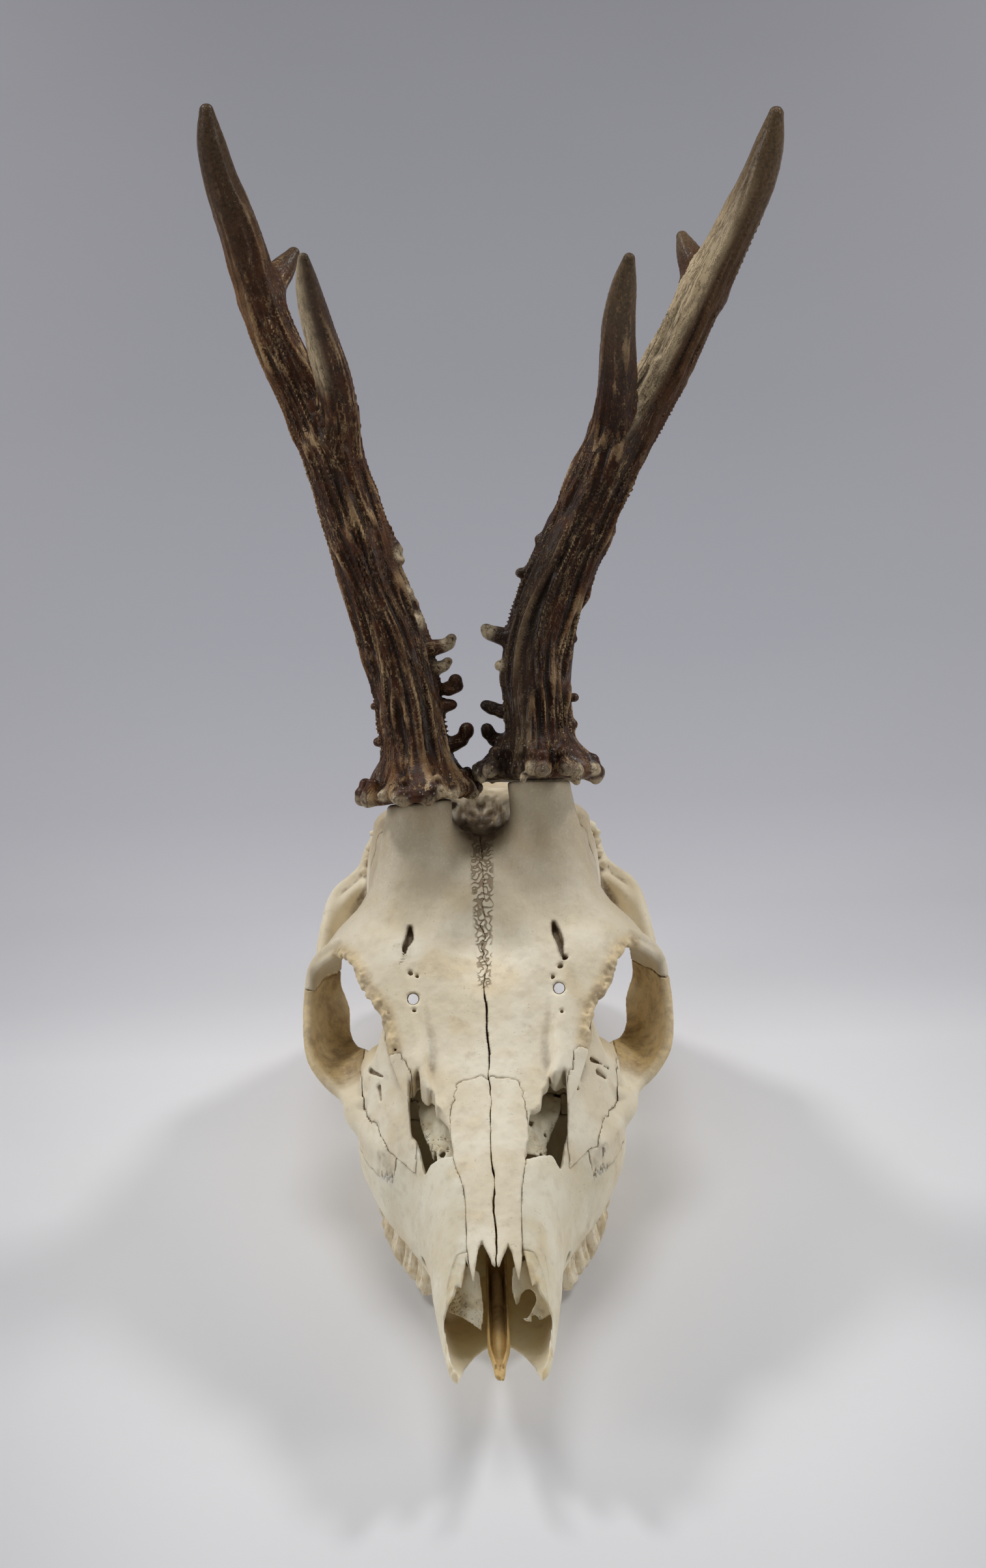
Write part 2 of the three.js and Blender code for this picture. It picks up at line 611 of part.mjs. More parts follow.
const REAR_RIGHT = [
  [-50, 107, 204, 4.6], [-47.6, 111.8, 205.4, 4.2], [-44.6, 116.4, 207.6, 3.4], [-41.6, 120.8, 210.4, TINE_TIP_RADIUS],
];
// Knobs (pearls) on the lower beam: x, y, z, radius.
const PEARLS_LEFT = [
  [14.6, 76.6, 140.6, 2.4], [18.2, 80.6, 147.8, 2.2], [6, 69.4, 126.6, 3.4], [7.8, 65.8, 120, 2.8],
  [5.2, 61.2, 110, 3],
];
const PEARLS_RIGHT = [
  [-20.4, 80, 147.7, 2.2], [-17.4, 74.8, 136.9, 2.4], [-9.6, 68.4, 124.4, 3.4], [-10.4, 66, 119.4, 3],
  [-8.2, 61.6, 111, 3],
];

/** Round rod through stations of x, y, z, radius, fattened by a margin. */
function tine(stations, margin, steps) {
  const wide = stations.map(([x, y, z, r]) => [x, y, z, r + margin, r + margin]);
  return rod(wide, steps, 10, [0, 1, 0.2]);
}

/** Coronet: a lobed collar round the foot of the antler. */
function coronet(foot, next) {
  const along = vec(next).sub(vec(foot)).normalize();
  const turn = new THREE.Quaternion().setFromUnitVectors(new THREE.Vector3(0, 0, 1), along);
  const rows = [[0.3, 0.6], [0.5, 0.88], [3, 1], [6.5, 0.98], [CORONET_HEIGHT, 0.66]];
  const rings = rows.map(([height, scale]) => {
    const points = [];
    for (let j = 0; j < 22; j += 1) {
      const angle = (j / 22) * Math.PI * 2;
      const lobe = 1 + 0.055 * Math.cos(angle * 7 + height) + 0.035 * Math.cos(angle * 11);
      const radius = CORONET_RADIUS * scale * lobe;
      const p = new THREE.Vector3(Math.cos(angle) * radius, Math.sin(angle) * radius * 0.96, height);
      points.push(p.applyQuaternion(turn).add(vec(foot)));
    }
    return points;
  });
  return solid(loft(rings));
}

function antler(beam, top, front, rear, pearls) {
  let lower = tine(beam, 0, 14).add(coronet(beam[0], beam[1]));
  pearls.forEach(([x, y, z, r]) => {
    lower = lower.add(ellipsoid([x, y, z], [r, r, r * 1.2], 6, 5));
  });
  const grownLower = tine(beam, GAP, 14);
  const topSolid = tine(top, 0, 9);
  const foot = vec(top[0]);
  const next = vec(top[1]);
  const cut = new THREE.BoxGeometry(30, 30, 30);
  const turn = new THREE.Quaternion().setFromUnitVectors(
    new THREE.Vector3(0, 0, 1),
    next.clone().sub(foot).normalize(),
  );
  cut.applyQuaternion(turn);
  const shift = next.clone().sub(foot).normalize().multiplyScalar(GAP - 15);
  cut.translate(foot.x + shift.x, foot.y + shift.y, foot.z + shift.z);
  const upper = largest(topSolid.subtract(solid(cut)).subtract(grownLower));
  const grownTop = tine(top, GAP, 9);
  const frontSolid = largest(tine(front, 0, 9).subtract(grownLower));
  const rearSolid = largest(tine(rear, 0, 8).subtract(grownLower).subtract(grownTop));
  return { lower, upper, frontSolid, rearSolid };
}

const left = antler(BEAM_LEFT, TOP_LEFT, FRONT_LEFT, REAR_LEFT, PEARLS_LEFT);
const right = antler(BEAM_RIGHT, TOP_RIGHT, FRONT_RIGHT, REAR_RIGHT, PEARLS_RIGHT);

// The pedicle ends below the coronet, leaving the seam between bone and antler.
function pedicleTrim(foot, next, side) {
  const along = vec(next).sub(vec(foot)).normalize();
  const cut = new THREE.BoxGeometry(60, 60, 40);
  cut.applyQuaternion(new THREE.Quaternion().setFromUnitVectors(new THREE.Vector3(0, 0, 1), along));
  const centre = vec(foot).addScaledVector(along, 20 - GAP * 0.5);
  cut.translate(centre.x, centre.y, centre.z);
  if (side < 0) {
    cut.scale(-1, 1, 1);
  }
  return solid(cut);
}

// ---------------------------------------------------------------- worn contact flats
const pitch = THREE.MathUtils.degToRad(REST_PITCH);
const floorLevel = -CONTACT_Y * Math.sin(pitch) + FLAT_DEPTH;

function tableCut() {
  const block = new THREE.BoxGeometry(200, 300, 40);
  block.translate(0, 0, floorLevel - 20);
  block.rotateX(pitch);
  return solid(block);
}
const table = tableCut();

// ---------------------------------------------------------------- materials and scene graph
const finish = (color, roughness) => new THREE.MeshStandardMaterial({ color, roughness, metalness: 0 });
const BONE = finish(0xddd4bd, 0.62);
const BONE_YELLOW = finish(0xcdb887, 0.58);
const BONE_THIN = finish(0xe6dfcd, 0.66);
const ANTLER = finish(0x6a4e33, 0.6);
const ANTLER_TIP = finish(0xa08d70, 0.42);

const skull = new THREE.Group();

function addMesh(name, shape, material, mirror = false) {
  const mesh = new THREE.Mesh(toGeometry(shape), material);
  mesh.name = name;
  if (mirror) {
    mesh.scale.x = -1;
  }
  skull.add(mesh);
}

const frontalLeft = largest(bones.frontal.subtract(pedicleTrim(BEAM_LEFT[0], BEAM_LEFT[1], 1)));
const frontalRight = largest(bones.frontal.subtract(pedicleTrim(BEAM_RIGHT[0], BEAM_RIGHT[1], -1)));
const maxilla = largest(bones.maxilla.subtract(table));

addMesh('braincase', largest(bones.braincase.subtract(table)), BONE);
addMesh('frontal_left', frontalLeft, BONE);
addMesh('frontal_right', frontalRight, BONE, true);
addMesh('nasal_left', bones.nasal, BONE);
addMesh('nasal_right', bones.nasal, BONE, true);
addMesh('lacrimal_left', bones.lacrimal, BONE);
addMesh('lacrimal_right', bones.lacrimal, BONE, true);
addMesh('zygomatic_left', bones.zygomatic, BONE_YELLOW);
addMesh('zygomatic_right', bones.zygomatic, BONE_YELLOW, true);
addMesh('maxilla_left', maxilla, BONE);
addMesh('maxilla_right', maxilla, BONE, true);
addMesh('premaxilla_left', bones.premaxilla, BONE);
addMesh('premaxilla_right', bones.premaxilla, BONE, true);
addMesh('vomer', vomer(), BONE_YELLOW);
const scroll = largest(sheet(turbinate()).intersect(nasalCavity(NASAL_WALL + 2 * GAP)));
addMesh('turbinate_left', scroll, BONE_THIN);
addMesh('turbinate_right', scroll, BONE_THIN, true);
addMesh('antler_left_beam', left.lower, ANTLER);
addMesh('antler_left_front_tine', left.frontSolid, ANTLER_TIP);
addMesh('antler_left_rear_tine', left.rearSolid, ANTLER_TIP);
addMesh('antler_left_top_tine', left.upper, ANTLER_TIP);
addMesh('antler_right_beam', right.lower, ANTLER);
addMesh('antler_right_front_tine', right.frontSolid, ANTLER_TIP);
addMesh('antler_right_rear_tine', right.rearSolid, ANTLER_TIP);
addMesh('antler_right_top_tine', right.upper, ANTLER_TIP);

// Lay the skull down as it rests, with the bottom centre of its box at the origin.
skull.rotation.x = -pitch;
const part = new THREE.Group();
part.add(skull);
part.updateMatrixWorld(true);
const box = new THREE.Box3().setFromObject(part, true);
skull.position.set(-(box.min.x + box.max.x) / 2, -(box.min.y + box.max.y) / 2, -box.min.z);

export default part;
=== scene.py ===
"""Roe deer skull with both antlers, resting on a pale studio floor.

The bones are drawn in the skull's own frame (millimetres, chewing plane at z = 0, nose toward -Y,
the animal's left at +X) as signed distances on grids, parted along their sutures, and laid down with
the 7 degree pitch of the CAD pose."""
import math

import bpy
import numpy as np
from mathutils import Matrix, Vector


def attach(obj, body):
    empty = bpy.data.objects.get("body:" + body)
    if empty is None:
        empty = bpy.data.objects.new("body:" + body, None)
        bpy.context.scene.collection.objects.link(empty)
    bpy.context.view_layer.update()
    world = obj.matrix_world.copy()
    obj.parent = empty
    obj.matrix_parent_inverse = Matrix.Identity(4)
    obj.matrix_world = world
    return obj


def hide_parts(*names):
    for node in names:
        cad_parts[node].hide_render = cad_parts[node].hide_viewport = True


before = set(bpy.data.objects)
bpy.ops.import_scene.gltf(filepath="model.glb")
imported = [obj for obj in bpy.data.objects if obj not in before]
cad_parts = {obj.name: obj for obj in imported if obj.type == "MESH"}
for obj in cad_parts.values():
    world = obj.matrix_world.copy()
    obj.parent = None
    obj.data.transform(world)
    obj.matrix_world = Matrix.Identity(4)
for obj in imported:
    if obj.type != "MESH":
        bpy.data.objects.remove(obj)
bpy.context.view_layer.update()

COARSE = 1.0
# Grid steps in millimetres of the pieces that have no box of their own below.
SKULL_STEP, BRAINCASE_STEP, ANTLER_STEP, TOOTH_STEP, THIN_STEP, VOMER_STEP = 0.5, 0.62, 0.435, 0.28, 0.3, 0.24
OUTSIDE = 20.0

PITCH = math.radians(7)
SHIFT = (-8.173, -28.150, 1.212)
# Half the gap that a closed suture leaves.
SEAM = 0.015


def to_world(p):
    """Skull millimetres to metres in the CAD frame."""
    c, s = math.cos(PITCH), math.sin(PITCH)
    x, y, z = p[..., 0], p[..., 1], p[..., 2]
    return np.stack([x + SHIFT[0], y * c + z * s + SHIFT[1], -y * s + z * c + SHIFT[2]], -1) / 1000


# ---------------------------------------------------------------- camera
IMAGE_W, IMAGE_H = 1514, 2408
CAMERA_ELEVATION, CAMERA_ROLL = 28.5, 2.0
CAMERA_DISTANCE = 1500.0
FOCAL_PX = 9315.0
AIM, AIM_PX = (0, 20, 60), (746.6, 1486.2)


def make_camera():
    e, r = math.radians(CAMERA_ELEVATION), math.radians(CAMERA_ROLL)
    back = Vector((0, -math.cos(e), math.sin(e)))
    right = Vector((1, 0, 0))
    up = back.cross(right)
    rolled = right * math.cos(r) - up * math.sin(r)
    up = up * math.cos(r) + right * math.sin(r)
    u = (AIM_PX[0] - IMAGE_W / 2) / FOCAL_PX * CAMERA_DISTANCE
    v = (IMAGE_H / 2 - AIM_PX[1]) / FOCAL_PX * CAMERA_DISTANCE
    place = Vector(AIM) + back * CAMERA_DISTANCE - rolled * u - up * v
    turn = Matrix.Rotation(-PITCH, 3, "X")
    basis = Matrix((turn @ rolled, turn @ up, turn @ back)).transposed().to_4x4()
    basis.translation = Vector(to_world(np.array(place)).tolist())
    data = bpy.data.cameras.new("camera")
    data.sensor_width = 36
    data.lens = FOCAL_PX / IMAGE_H * 36
    data.clip_start, data.clip_end = 0.05, 30
    camera = bpy.data.objects.new("camera", data)
    camera.matrix_world = basis
    bpy.context.scene.collection.objects.link(camera)
    bpy.context.scene.camera = camera


make_camera()


# ---------------------------------------------------------------- numbers and noise
LATTICE = np.random.default_rng(7).random((32, 32, 32)).astype(np.float32)


def noise(x, y, z, seed=0):
    """Smooth noise from 0 to 1 with a wavelength of about one unit."""
    x, y, z = np.broadcast_arrays(x + seed * 5.37, y + seed * 3.11, z + seed * 7.73)
    cell, part = [], []
    for v in (x, y, z):
        f = np.floor(v)
        t = (v - f).astype(np.float32)
        cell.append(f.astype(np.int32) & 31)
        part.append(t * t * (3 - 2 * t))
    i, j, k = cell
    a, b, c = part
    i1, j1, k1 = (i + 1) & 31, (j + 1) & 31, (k + 1) & 31
    t = LATTICE
    near = (t[i, j, k] * (1 - a) + t[i1, j, k] * a) * (1 - b) + (t[i, j1, k] * (1 - a) + t[i1, j1, k] * a) * b
    far = (t[i, j, k1] * (1 - a) + t[i1, j, k1] * a) * (1 - b) + (t[i, j1, k1] * (1 - a) + t[i1, j1,
                                                                                             k1] * a) * b
    return near * (1 - c) + far * c


def layered(x, y, z, seed):
    """Three layers of noise, each half the size and weight of the one before."""
    total = sum(noise(x / size, y / size, z / size, seed + n * 11) * size for n,
                size in enumerate((1, 0.5, 0.25)))
    return total / 1.75


def wave(x, y, z, seed, height):
    """Noise about zero, so high from its lowest to its highest."""
    return (noise(x, y, z, seed) - 0.5) * height


def ramp(v, low, high):
    t = np.clip((v - low) / (high - low), 0, 1)
    return t * t * (3 - 2 * t)


def smooth_min(a, b, k):
    if k <= 0:
        return np.minimum(a, b)
    h = np.maximum(k - np.abs(a - b), 0) / k
    return np.minimum(a, b) - h * h * k * 0.25


def smooth_max(a, b, k):
    return -smooth_min(-a, -b, k)


def through(table, keys):
    """Rows of a table (first column is the key) at any keys, on a smooth curve."""
    table = np.array(table, float)
    t, v = table[:, 0], table[:, 1:]
    slope = np.gradient(v, t, axis=0)
    i = np.clip(np.searchsorted(t, keys) - 1, 0, len(t) - 2)
    w = t[i + 1] - t[i]
    s = np.clip((np.asarray(keys) - t[i]) / w, 0, 1)[:, None]
    w = w[:, None]
    return (v[i] * (2 * s**3 - 3 * s**2 + 1) + slope[i] * w * (s**3 - 2 * s**2 + s)
            + v[i + 1] * (3 * s**2 - 2 * s**3) + slope[i + 1] * w * (s**3 - s**2))


def smooth_path(stations, spacing):
    """Points on a smooth curve through stations of any width (first three are x, y, z)."""
    p = np.array(stations, float)
    if len(p) > 2:
        chord = np.maximum(np.linalg.norm(np.diff(p[:, :3], axis=0), axis=1), 1e-3) ** 0.75
        t = np.concatenate([[0], np.cumsum(chord)])
        fine = through(np.column_stack([t, p]), np.linspace(0, t[-1], 40 * len(p)))
    else:
        fine = p[0] + (p[1] - p[0]) * np.linspace(0, 1, 40)[:, None]
    run = np.concatenate([[0], np.cumsum(np.linalg.norm(np.diff(fine[:, :3], axis=0), axis=1))])
    count = max(2, int(math.ceil(run[-1] / spacing)) + 1)
    at = np.linspace(0, run[-1], count)
    return np.column_stack([np.interp(at, run, fine[:, k]) for k in range(fine.shape[1])])


def edge_distance(px, py, edges):
    """Signed distance in the plane to a ring of edges ax, ay, bx, by, negative inside."""
    best, inside = np.float32(1e9), False
    for ax, ay, bx, by in edges:
        ex, ey, wx, wy = bx - ax, by - ay, px - ax, py - ay
        t = np.clip((wx * ex + wy * ey) / (ex * ex + ey * ey + 1e-9), 0, 1)
        best = np.minimum(best, (wx - t * ex) ** 2 + (wy - t * ey) ** 2)
        rise = np.where(ey == 0, 1e-9, ey)
        inside = inside ^ (((ay > py) != (by > py)) & (px < ex * wy / rise + ax))
    best = np.sqrt(best)
    return np.where(inside, -best, best)


def outline_distance(px, py, outline):
    return edge_distance(px, py, [(*a, *b) for a, b in zip(outline, outline[1:] + outline[:1])])


# ---------------------------------------------------------------- fields
CORNERS = [(a, b, c) for a in (0, 1) for b in (0, 1) for c in (0, 1)]


def evened(path, count):
    """The same path with so many points, spread evenly over its own."""
    at, own = np.linspace(0, 1, count), np.linspace(0, 1, len(path))
    return np.column_stack([np.interp(at, own, column) for column in path.T])


class Field:
    """Signed distance on a regular grid, negative inside the bone."""

    def __init__(self, low, high, step):
        self.low, self.step = np.array(low, float), step
        self.count = [int(math.ceil((b - a) / step)) + 1 for a, b in zip(low, high)]
        self.axes = [(a + step * np.arange(n)).astype(np.float32) for a, n in zip(low, self.count)]
        self.value = np.full(self.count, OUTSIDE, np.float32)

    def window(self, low, high):
        cut = []
        for k in range(3):
            a = int(np.clip(math.floor((low[k] - self.low[k]) / self.step), 0, self.count[k] - 1))
            b = int(np.clip(math.ceil((high[k] - self.low[k]) / self.step) + 1, a + 1, self.count[k]))
            cut.append(slice(a, b))
        x, y, z = (self.axes[k][cut[k]] for k in range(3))
        return tuple(cut), x[:, None, None], y[None, :, None], z[None, None, :]

    def mesh(self):
        x, y, z = self.axes
        return x[:, None, None], y[None, :, None], z[None, None, :]

    def mix(self, cut, d, k, carve=False):
        v = self.value[cut]
        self.value[cut] = smooth_max(v, -d, k) if carve else smooth_min(v, d, k)

    def keep(self, d):
        """Leaves only what is inside d too."""
        self.value = np.maximum(self.value, d).astype(np.float32)

    def blob(self, centre, radii, k=1.0, carve=False):
        c, r = np.array(centre, float), np.array(radii, float)
        margin = k + 1.5
        cut, x, y, z = self.window(c - r - margin, c + r + margin)
        px, py, pz = (x - c[0]) / r[0], (y - c[1]) / r[1], (z - c[2]) / r[2]
        outer = np.sqrt(px * px + py * py + pz * pz)
        slope = np.sqrt((px / r[0]) ** 2 + (py / r[1]) ** 2 + (pz / r[2]) ** 2)
        self.mix(cut, outer * (outer - 1) / np.maximum(slope, 1e-6), k, carve)

    def tube(self, stations, k=1.0, carve=False, spacing=1.2):
        """Round rod through stations of x, y, z, radius."""
        p = smooth_path(stations, spacing)
        margin = p[:, 3].max() + k + 1.5
        cut, x, y, z = self.window(p[:, :3].min(0) - margin, p[:, :3].max(0) + margin)
        d = np.full(np.broadcast(x, y, z).shape, 30, np.float32)
        for a, b in zip(p[:-1], p[1:]):
            e = b[:3] - a[:3]
            wx, wy, wz = x - a[0], y - a[1], z - a[2]
            t = np.clip((wx * e[0] + wy * e[1] + wz * e[2]) / (e @ e + 1e-9), 0, 1)
            gap = np.sqrt((wx - t * e[0]) ** 2 + (wy - t * e[1]) ** 2 + (wz - t * e[2]) ** 2)
            d = np.minimum(d, gap - (a[3] + t * (b[3] - a[3])))
        self.mix(cut, d, k, carve)

    def sheet(self, rows, k=1.0, spacing=0.45):
        """Thin plate through rows of stations of x, y, z, half thickness; each row is a curve across."""
        spacing *= COARSE
        across = 12
        even = [evened(smooth_path(row, 1.0), across) for row in rows]
        columns = [smooth_path([row[j] for row in even], spacing) for j in range(across)]
        tall = max(len(c) for c in columns)
        grid = np.stack([evened(c, tall) for c in columns], 1)
        self.dots(np.concatenate([smooth_path(row, spacing) for row in grid]), k)

    def dots(self, points, k):
        """Union of many small balls of x, y, z, radius."""
        reach = k + 1.2
        top = points[:, 3].max() + reach
        cut, x, y, z = self.window(points[:, :3].min(0) - top, points[:, :3].max(0) + top)
        axes = [x.ravel(), y.ravel(), z.ravel()]
        d = np.full([len(a) for a in axes], 9, np.float32)
        for *centre, r in points:
            m = r + reach
            ends = [(max(0, int((c - m - a[0]) / self.step)), int((c + m - a[0]) / self.step) + 2)
                    for c, a in zip(centre, axes)]
            part = d[tuple(slice(*e) for e in ends)]
            if part.size:
                gx, gy, gz = ((a[slice(*e)] - c) ** 2 for a, e, c in zip(axes, ends, centre))
                np.minimum(part, np.sqrt(gx[:, None, None] + gy[None, :, None] + gz[None, None, :]) - r,
                           out=part)
        self.mix(cut, d, k)

    def at(self, axes):
        """Values on another grid of axes, by linear interpolation."""
        v = self.value
        for k, want in enumerate(axes):
            f = np.clip((want - self.low[k]) / self.step, 0, self.count[k] - 1.001)
            i = f.astype(int)
            t = (f - i).astype(np.float32)
            shape = [1, 1, 1]
            shape[k] = -1
            t = t.reshape(shape)
            v = np.take(v, i, k) * (1 - t) + np.take(v, i + 1, k) * t
        return v.astype(np.float32)

    def probe(self, grid, p):
        """Values of another array on this grid at points p."""
        q = np.stack([np.clip((p[:, k] - self.low[k]) / self.step, 0,
                              self.count[k] - 1.001) for k in range(3)])
        i = q.astype(int)
        t = (q - i).astype(np.float32)
        total = 0
        for corner in CORNERS:
            a, b, c = (t[k] if far else 1 - t[k] for k, far in enumerate(corner))
            total = total + a * b * c * grid[tuple(i[k] + far for k, far in enumerate(corner))]
        return total


def blurred(v, reach):
    """Box blur over 2 * reach + 1 cells along each axis."""
    for axis in range(3):
        n = v.shape[axis]
        if n <= 2 * reach + 1:
            continue
        pad = [(0, 0)] * 3
        pad[axis] = (reach + 1, reach)
        run = np.cumsum(np.pad(v, pad, mode="edge"), axis=axis, dtype=np.float32)
        high = np.take(run, np.arange(2 * reach + 1, n + 2 * reach + 1), axis)
        low = np.take(run, np.arange(0, n), axis)
        v = (high - low) / (2 * reach + 1)
    return v


def surface(field):
    """Surface net of a field: vertices in the field's frame, and quads that face outward."""
    f = field.value
    for axis in range(3):
        edge = [slice(None)] * 3
        for end in (0, -1):
            edge[axis] = end
            f[tuple(edge)] = np.maximum(f[tuple(edge)], 0.05)
    inside = f < 0
    nx, ny, nz = f.shape
    total = np.zeros((nx - 1, ny - 1, nz - 1), np.uint8)
    for a, b, c in CORNERS:
        total += inside[a:nx - 1 + a, b:ny - 1 + b, c:nz - 1 + c]
    i, j, k = np.nonzero((total > 0) & (total < 8))
    number = np.full(total.shape, -1, np.int32)
    number[i, j, k] = np.arange(len(i), dtype=np.int32)
    value = {c: f[i + c[0], j + c[1], k + c[2]] for c in CORNERS}
    place = np.zeros((len(i), 3), np.float32)
    count = np.zeros(len(i), np.float32)
    for c in CORNERS:
        for axis in range(3):
            if c[axis]:
                continue
            e = tuple(1 if q == axis else c[q] for q in range(3))
            va, vb = value[c], value[e]
            hit = (va < 0) != (vb < 0)
            t = np.where(hit, va / np.where(hit, va - vb, 1), 0)
            for q in range(3):
                place[:, q] += np.where(hit, c[q] + (t if q == axis else 0), 0)
            count += hit
    place /= np.maximum(count, 1)[:, None]
    points = (np.stack([i, j, k], 1) + place) * field.step + field.low
    quads = []
    for axis in range(3):
        u, w = [(1, 2), (2, 0), (0, 1)][axis]
        a = [slice(1, -1)] * 3
        a[axis] = slice(0, -1)
        b = list(a)
        b[axis] = slice(1, None)
        one, two = inside[tuple(a)], inside[tuple(b)]
        cell = list(np.nonzero(one != two))
        out = one[tuple(cell)]
        base = [cell[q] + (0 if q == axis else 1) for q in range(3)]

        def cell_at(du, dw):
            spot = [base[0].copy(), base[1].copy(), base[2].copy()]
            spot[u] -= du
            spot[w] -= dw
            return number[spot[0], spot[1], spot[2]]

        ring = np.stack([cell_at(1, 1), cell_at(0, 1), cell_at(0, 0), cell_at(1, 0)], 1)
        quads.append(np.where(out[:, None], ring, ring[:, ::-1]))
    return points, np.concatenate(quads)


def main_parts(points, quads, least=400):
    """Leaves out loose crumbs: connected parts with fewer than so many faces."""
    label = np.arange(len(points))
    a = quads.ravel()
    b = np.roll(quads, 1, axis=1).ravel()
    for _ in range(60):
        low = np.minimum(label[a], label[b])
        before = label.copy()
        np.minimum.at(label, a, low)
        np.minimum.at(label, b, low)
        label = label[label]
        label = label[label]
        if np.array_equal(before, label):
            break
    size = np.bincount(label[quads[:, 0]], minlength=len(points))
    keep = size[label[quads[:, 0]]] >= min(least, size.max())
    quads = quads[keep]
    used = np.unique(quads)
    renumber = np.zeros(len(points), np.int64)
    renumber[used] = np.arange(len(used))
    return points[used], renumber[quads]


def vertex_normals(points, quads):
    p = points[quads]
    n = np.cross(p[:, 2] - p[:, 0], p[:, 3] - p[:, 1])
    total = np.stack([np.bincount(quads.ravel(), np.repeat(n[:, q], 4), len(points)) for q in range(3)], 1)
    return total / np.maximum(np.linalg.norm(total, axis=1), 1e-9)[:, None]


def relaxed(points, quads, share):
    """Evens the net a little: a pull together, then a push back so that thin parts don't shrink."""
    first = np.concatenate([quads.ravel(), np.roll(quads, -1, axis=1).ravel()])
    second = np.roll(first, quads.size)
    weight = np.bincount(first, minlength=len(points)).astype(float)
    for step in (share, -share * 1.02):
        mean = np.stack([np.bincount(first, points[second, q], len(points)) for q in range(3)], 1)
        points = points + (mean / np.maximum(weight, 1)[:, None] - points) * step
    return points


def make_piece(name, points, quads, marks, material, nodes):
    """Mesh object from skull millimetres, with float marks on its vertices for the material."""
    world = to_world(points).astype(np.float32)
    mesh = bpy.data.meshes.new(name)
    mesh.vertices.add(len(world))
    mesh.vertices.foreach_set("co", world.ravel())
    mesh.loops.add(quads.size)
    mesh.loops.foreach_set("vertex_index", quads.ravel().astype(np.int32))
    mesh.polygons.add(len(quads))
    mesh.polygons.foreach_set("loop_start", np.arange(0, quads.size, 4, dtype=np.int32))
    mesh.update(calc_edges=True)
    mesh.validate()
    for key, values in marks.items():
        layer = mesh.attributes.new(key, "FLOAT", "POINT")
        layer.data.foreach_set("value", np.ascontiguousarray(values, np.float32))
    mesh.polygons.foreach_set("use_smooth", np.ones(len(mesh.polygons), bool))
    mesh.materials.append(material)
    piece = bpy.data.objects.new(name, mesh)
    bpy.context.scene.collection.objects.link(piece)
    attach(piece, "root")
    if nodes:
        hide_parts(*nodes)
    return piece


# ---------------------------------------------------------------- skull shape
# Half cross-sections from nose to neck: y, roof z, shoulder x and z, side x and z, lower x and z, base z.
SECTIONS = [
    (-95, 14.6, 6, 14.5, 9.5, 13.3, 7, 11.8, 11.4), (-90, 18.6, 8.3, 18, 11.9, 14.6, 9.5, 10.8, 10.5),
    (-82, 24.4, 9, 23.2, 12.9, 17, 11.5, 10.4, 9.8), (-74, 30.5, 9, 28, 13.6, 19, 12.5, 10, 9),
    (-60, 36.5, 9.5, 34, 15, 22, 13.5, 9.5, 9.6), (-46, 42.3, 11, 39.5, 16.4, 25, 14.8, 10.4, 11),
    (-34, 46.8, 13.5, 43, 20.6, 28, 19.3, 10.8, 12), (-22, 51, 17.5, 46.5, 28, 29, 24, 10.8, 12.6),
    (-10, 56, 21.5, 50.5, 32.3, 29, 26.8, 10.8, 13), (2, 62, 25.5, 57.5, 32, 31, 29, 10, 13.2),
    (14, 68.3, 29, 65, 27, 40, 20, 20, 14), (28, 75.3, 33, 66, 24, 45, 14, 24, 16),
    (40, 81, 30, 67, 25, 48, 14, 24, 18), (52, 84.5, 25, 78, 29, 60, 18, 24, 20),
    (66, 84.5, 24, 79, 29.4, 58, 22, 26, 21), (78, 79, 21.5, 74.5, 28.6, 52, 22, 27, 23),
    (88, 68, 16.5, 65, 23.5, 44, 18, 28, 25), (92, 60, 11, 57, 17.5, 43, 12, 30, 27),
]
NOSE_Y, BACK_Y = -95, 92
NASAL_WALL = 1.5
ORBIT_CENTRE, ORBIT_RADII = (41, 16.5, 50), (24, 20.5, 18.5)


def half_rings(ys, inset, lift):
    """Right half of each cross-section, from the roof to the base, as points of x and z."""
    roof, sx, sz, mx, mz, lx, lz, base = through(SECTIONS, ys).T
    zero = np.zeros_like(roof)
    ring = [(zero, roof - inset + lift), (sx - inset * 0.8, sz - inset * 0.8 + lift),
            (mx - inset, mz + lift * 0.4),
            (lx - inset, lz + inset), (zero, base + inset)]
    ring = [np.stack(p, -1) for p in ring]
    mirror = np.array([-1, 1])
    p = [ring[1] * mirror, *ring, ring[3] * mirror]
    points = []
    for k in range(4):
        a, b, c, d = p[k:k + 4]
        t0, t1, t2 = (np.maximum(np.linalg.norm(v - u, axis=-1), 1e-6)[:, None] ** 0.5
                      for u, v in ((a, b), (b, c), (c, d)))
        m1 = ((b - a) / t0 - (c - a) / (t0 + t1) + (c - b) / t1) * t1
        m2 = ((c - b) / t1 - (d - b) / (t1 + t2) + (d - c) / t2) * t1
        for s in np.linspace(0, 1, 9)[:-1]:
            points.append(b * (2 * s**3 - 3 * s**2 + 1) + m1 * (s**3 - 2 * s**2 + s)
                          + c * (3 * s**2 - 2 * s**3) + m2 * (s**3 - s**2))
    points.append(ring[4])
    return np.stack(points, 1).astype(np.float32)


def loft_distance(rings, x, z):
    """Distance to the ring of each slice, within its own plane: an array over x, slice, z."""
    corners = [(ring[None, :, None, 0], ring[None, :, None, 1]) for ring in rings.transpose(1, 0, 2)]
    edges = [(*a, *b) for a, b in zip(corners, corners[1:])]
    return edge_distance(np.abs(x)[:, None, None], z[None, None, :], edges)


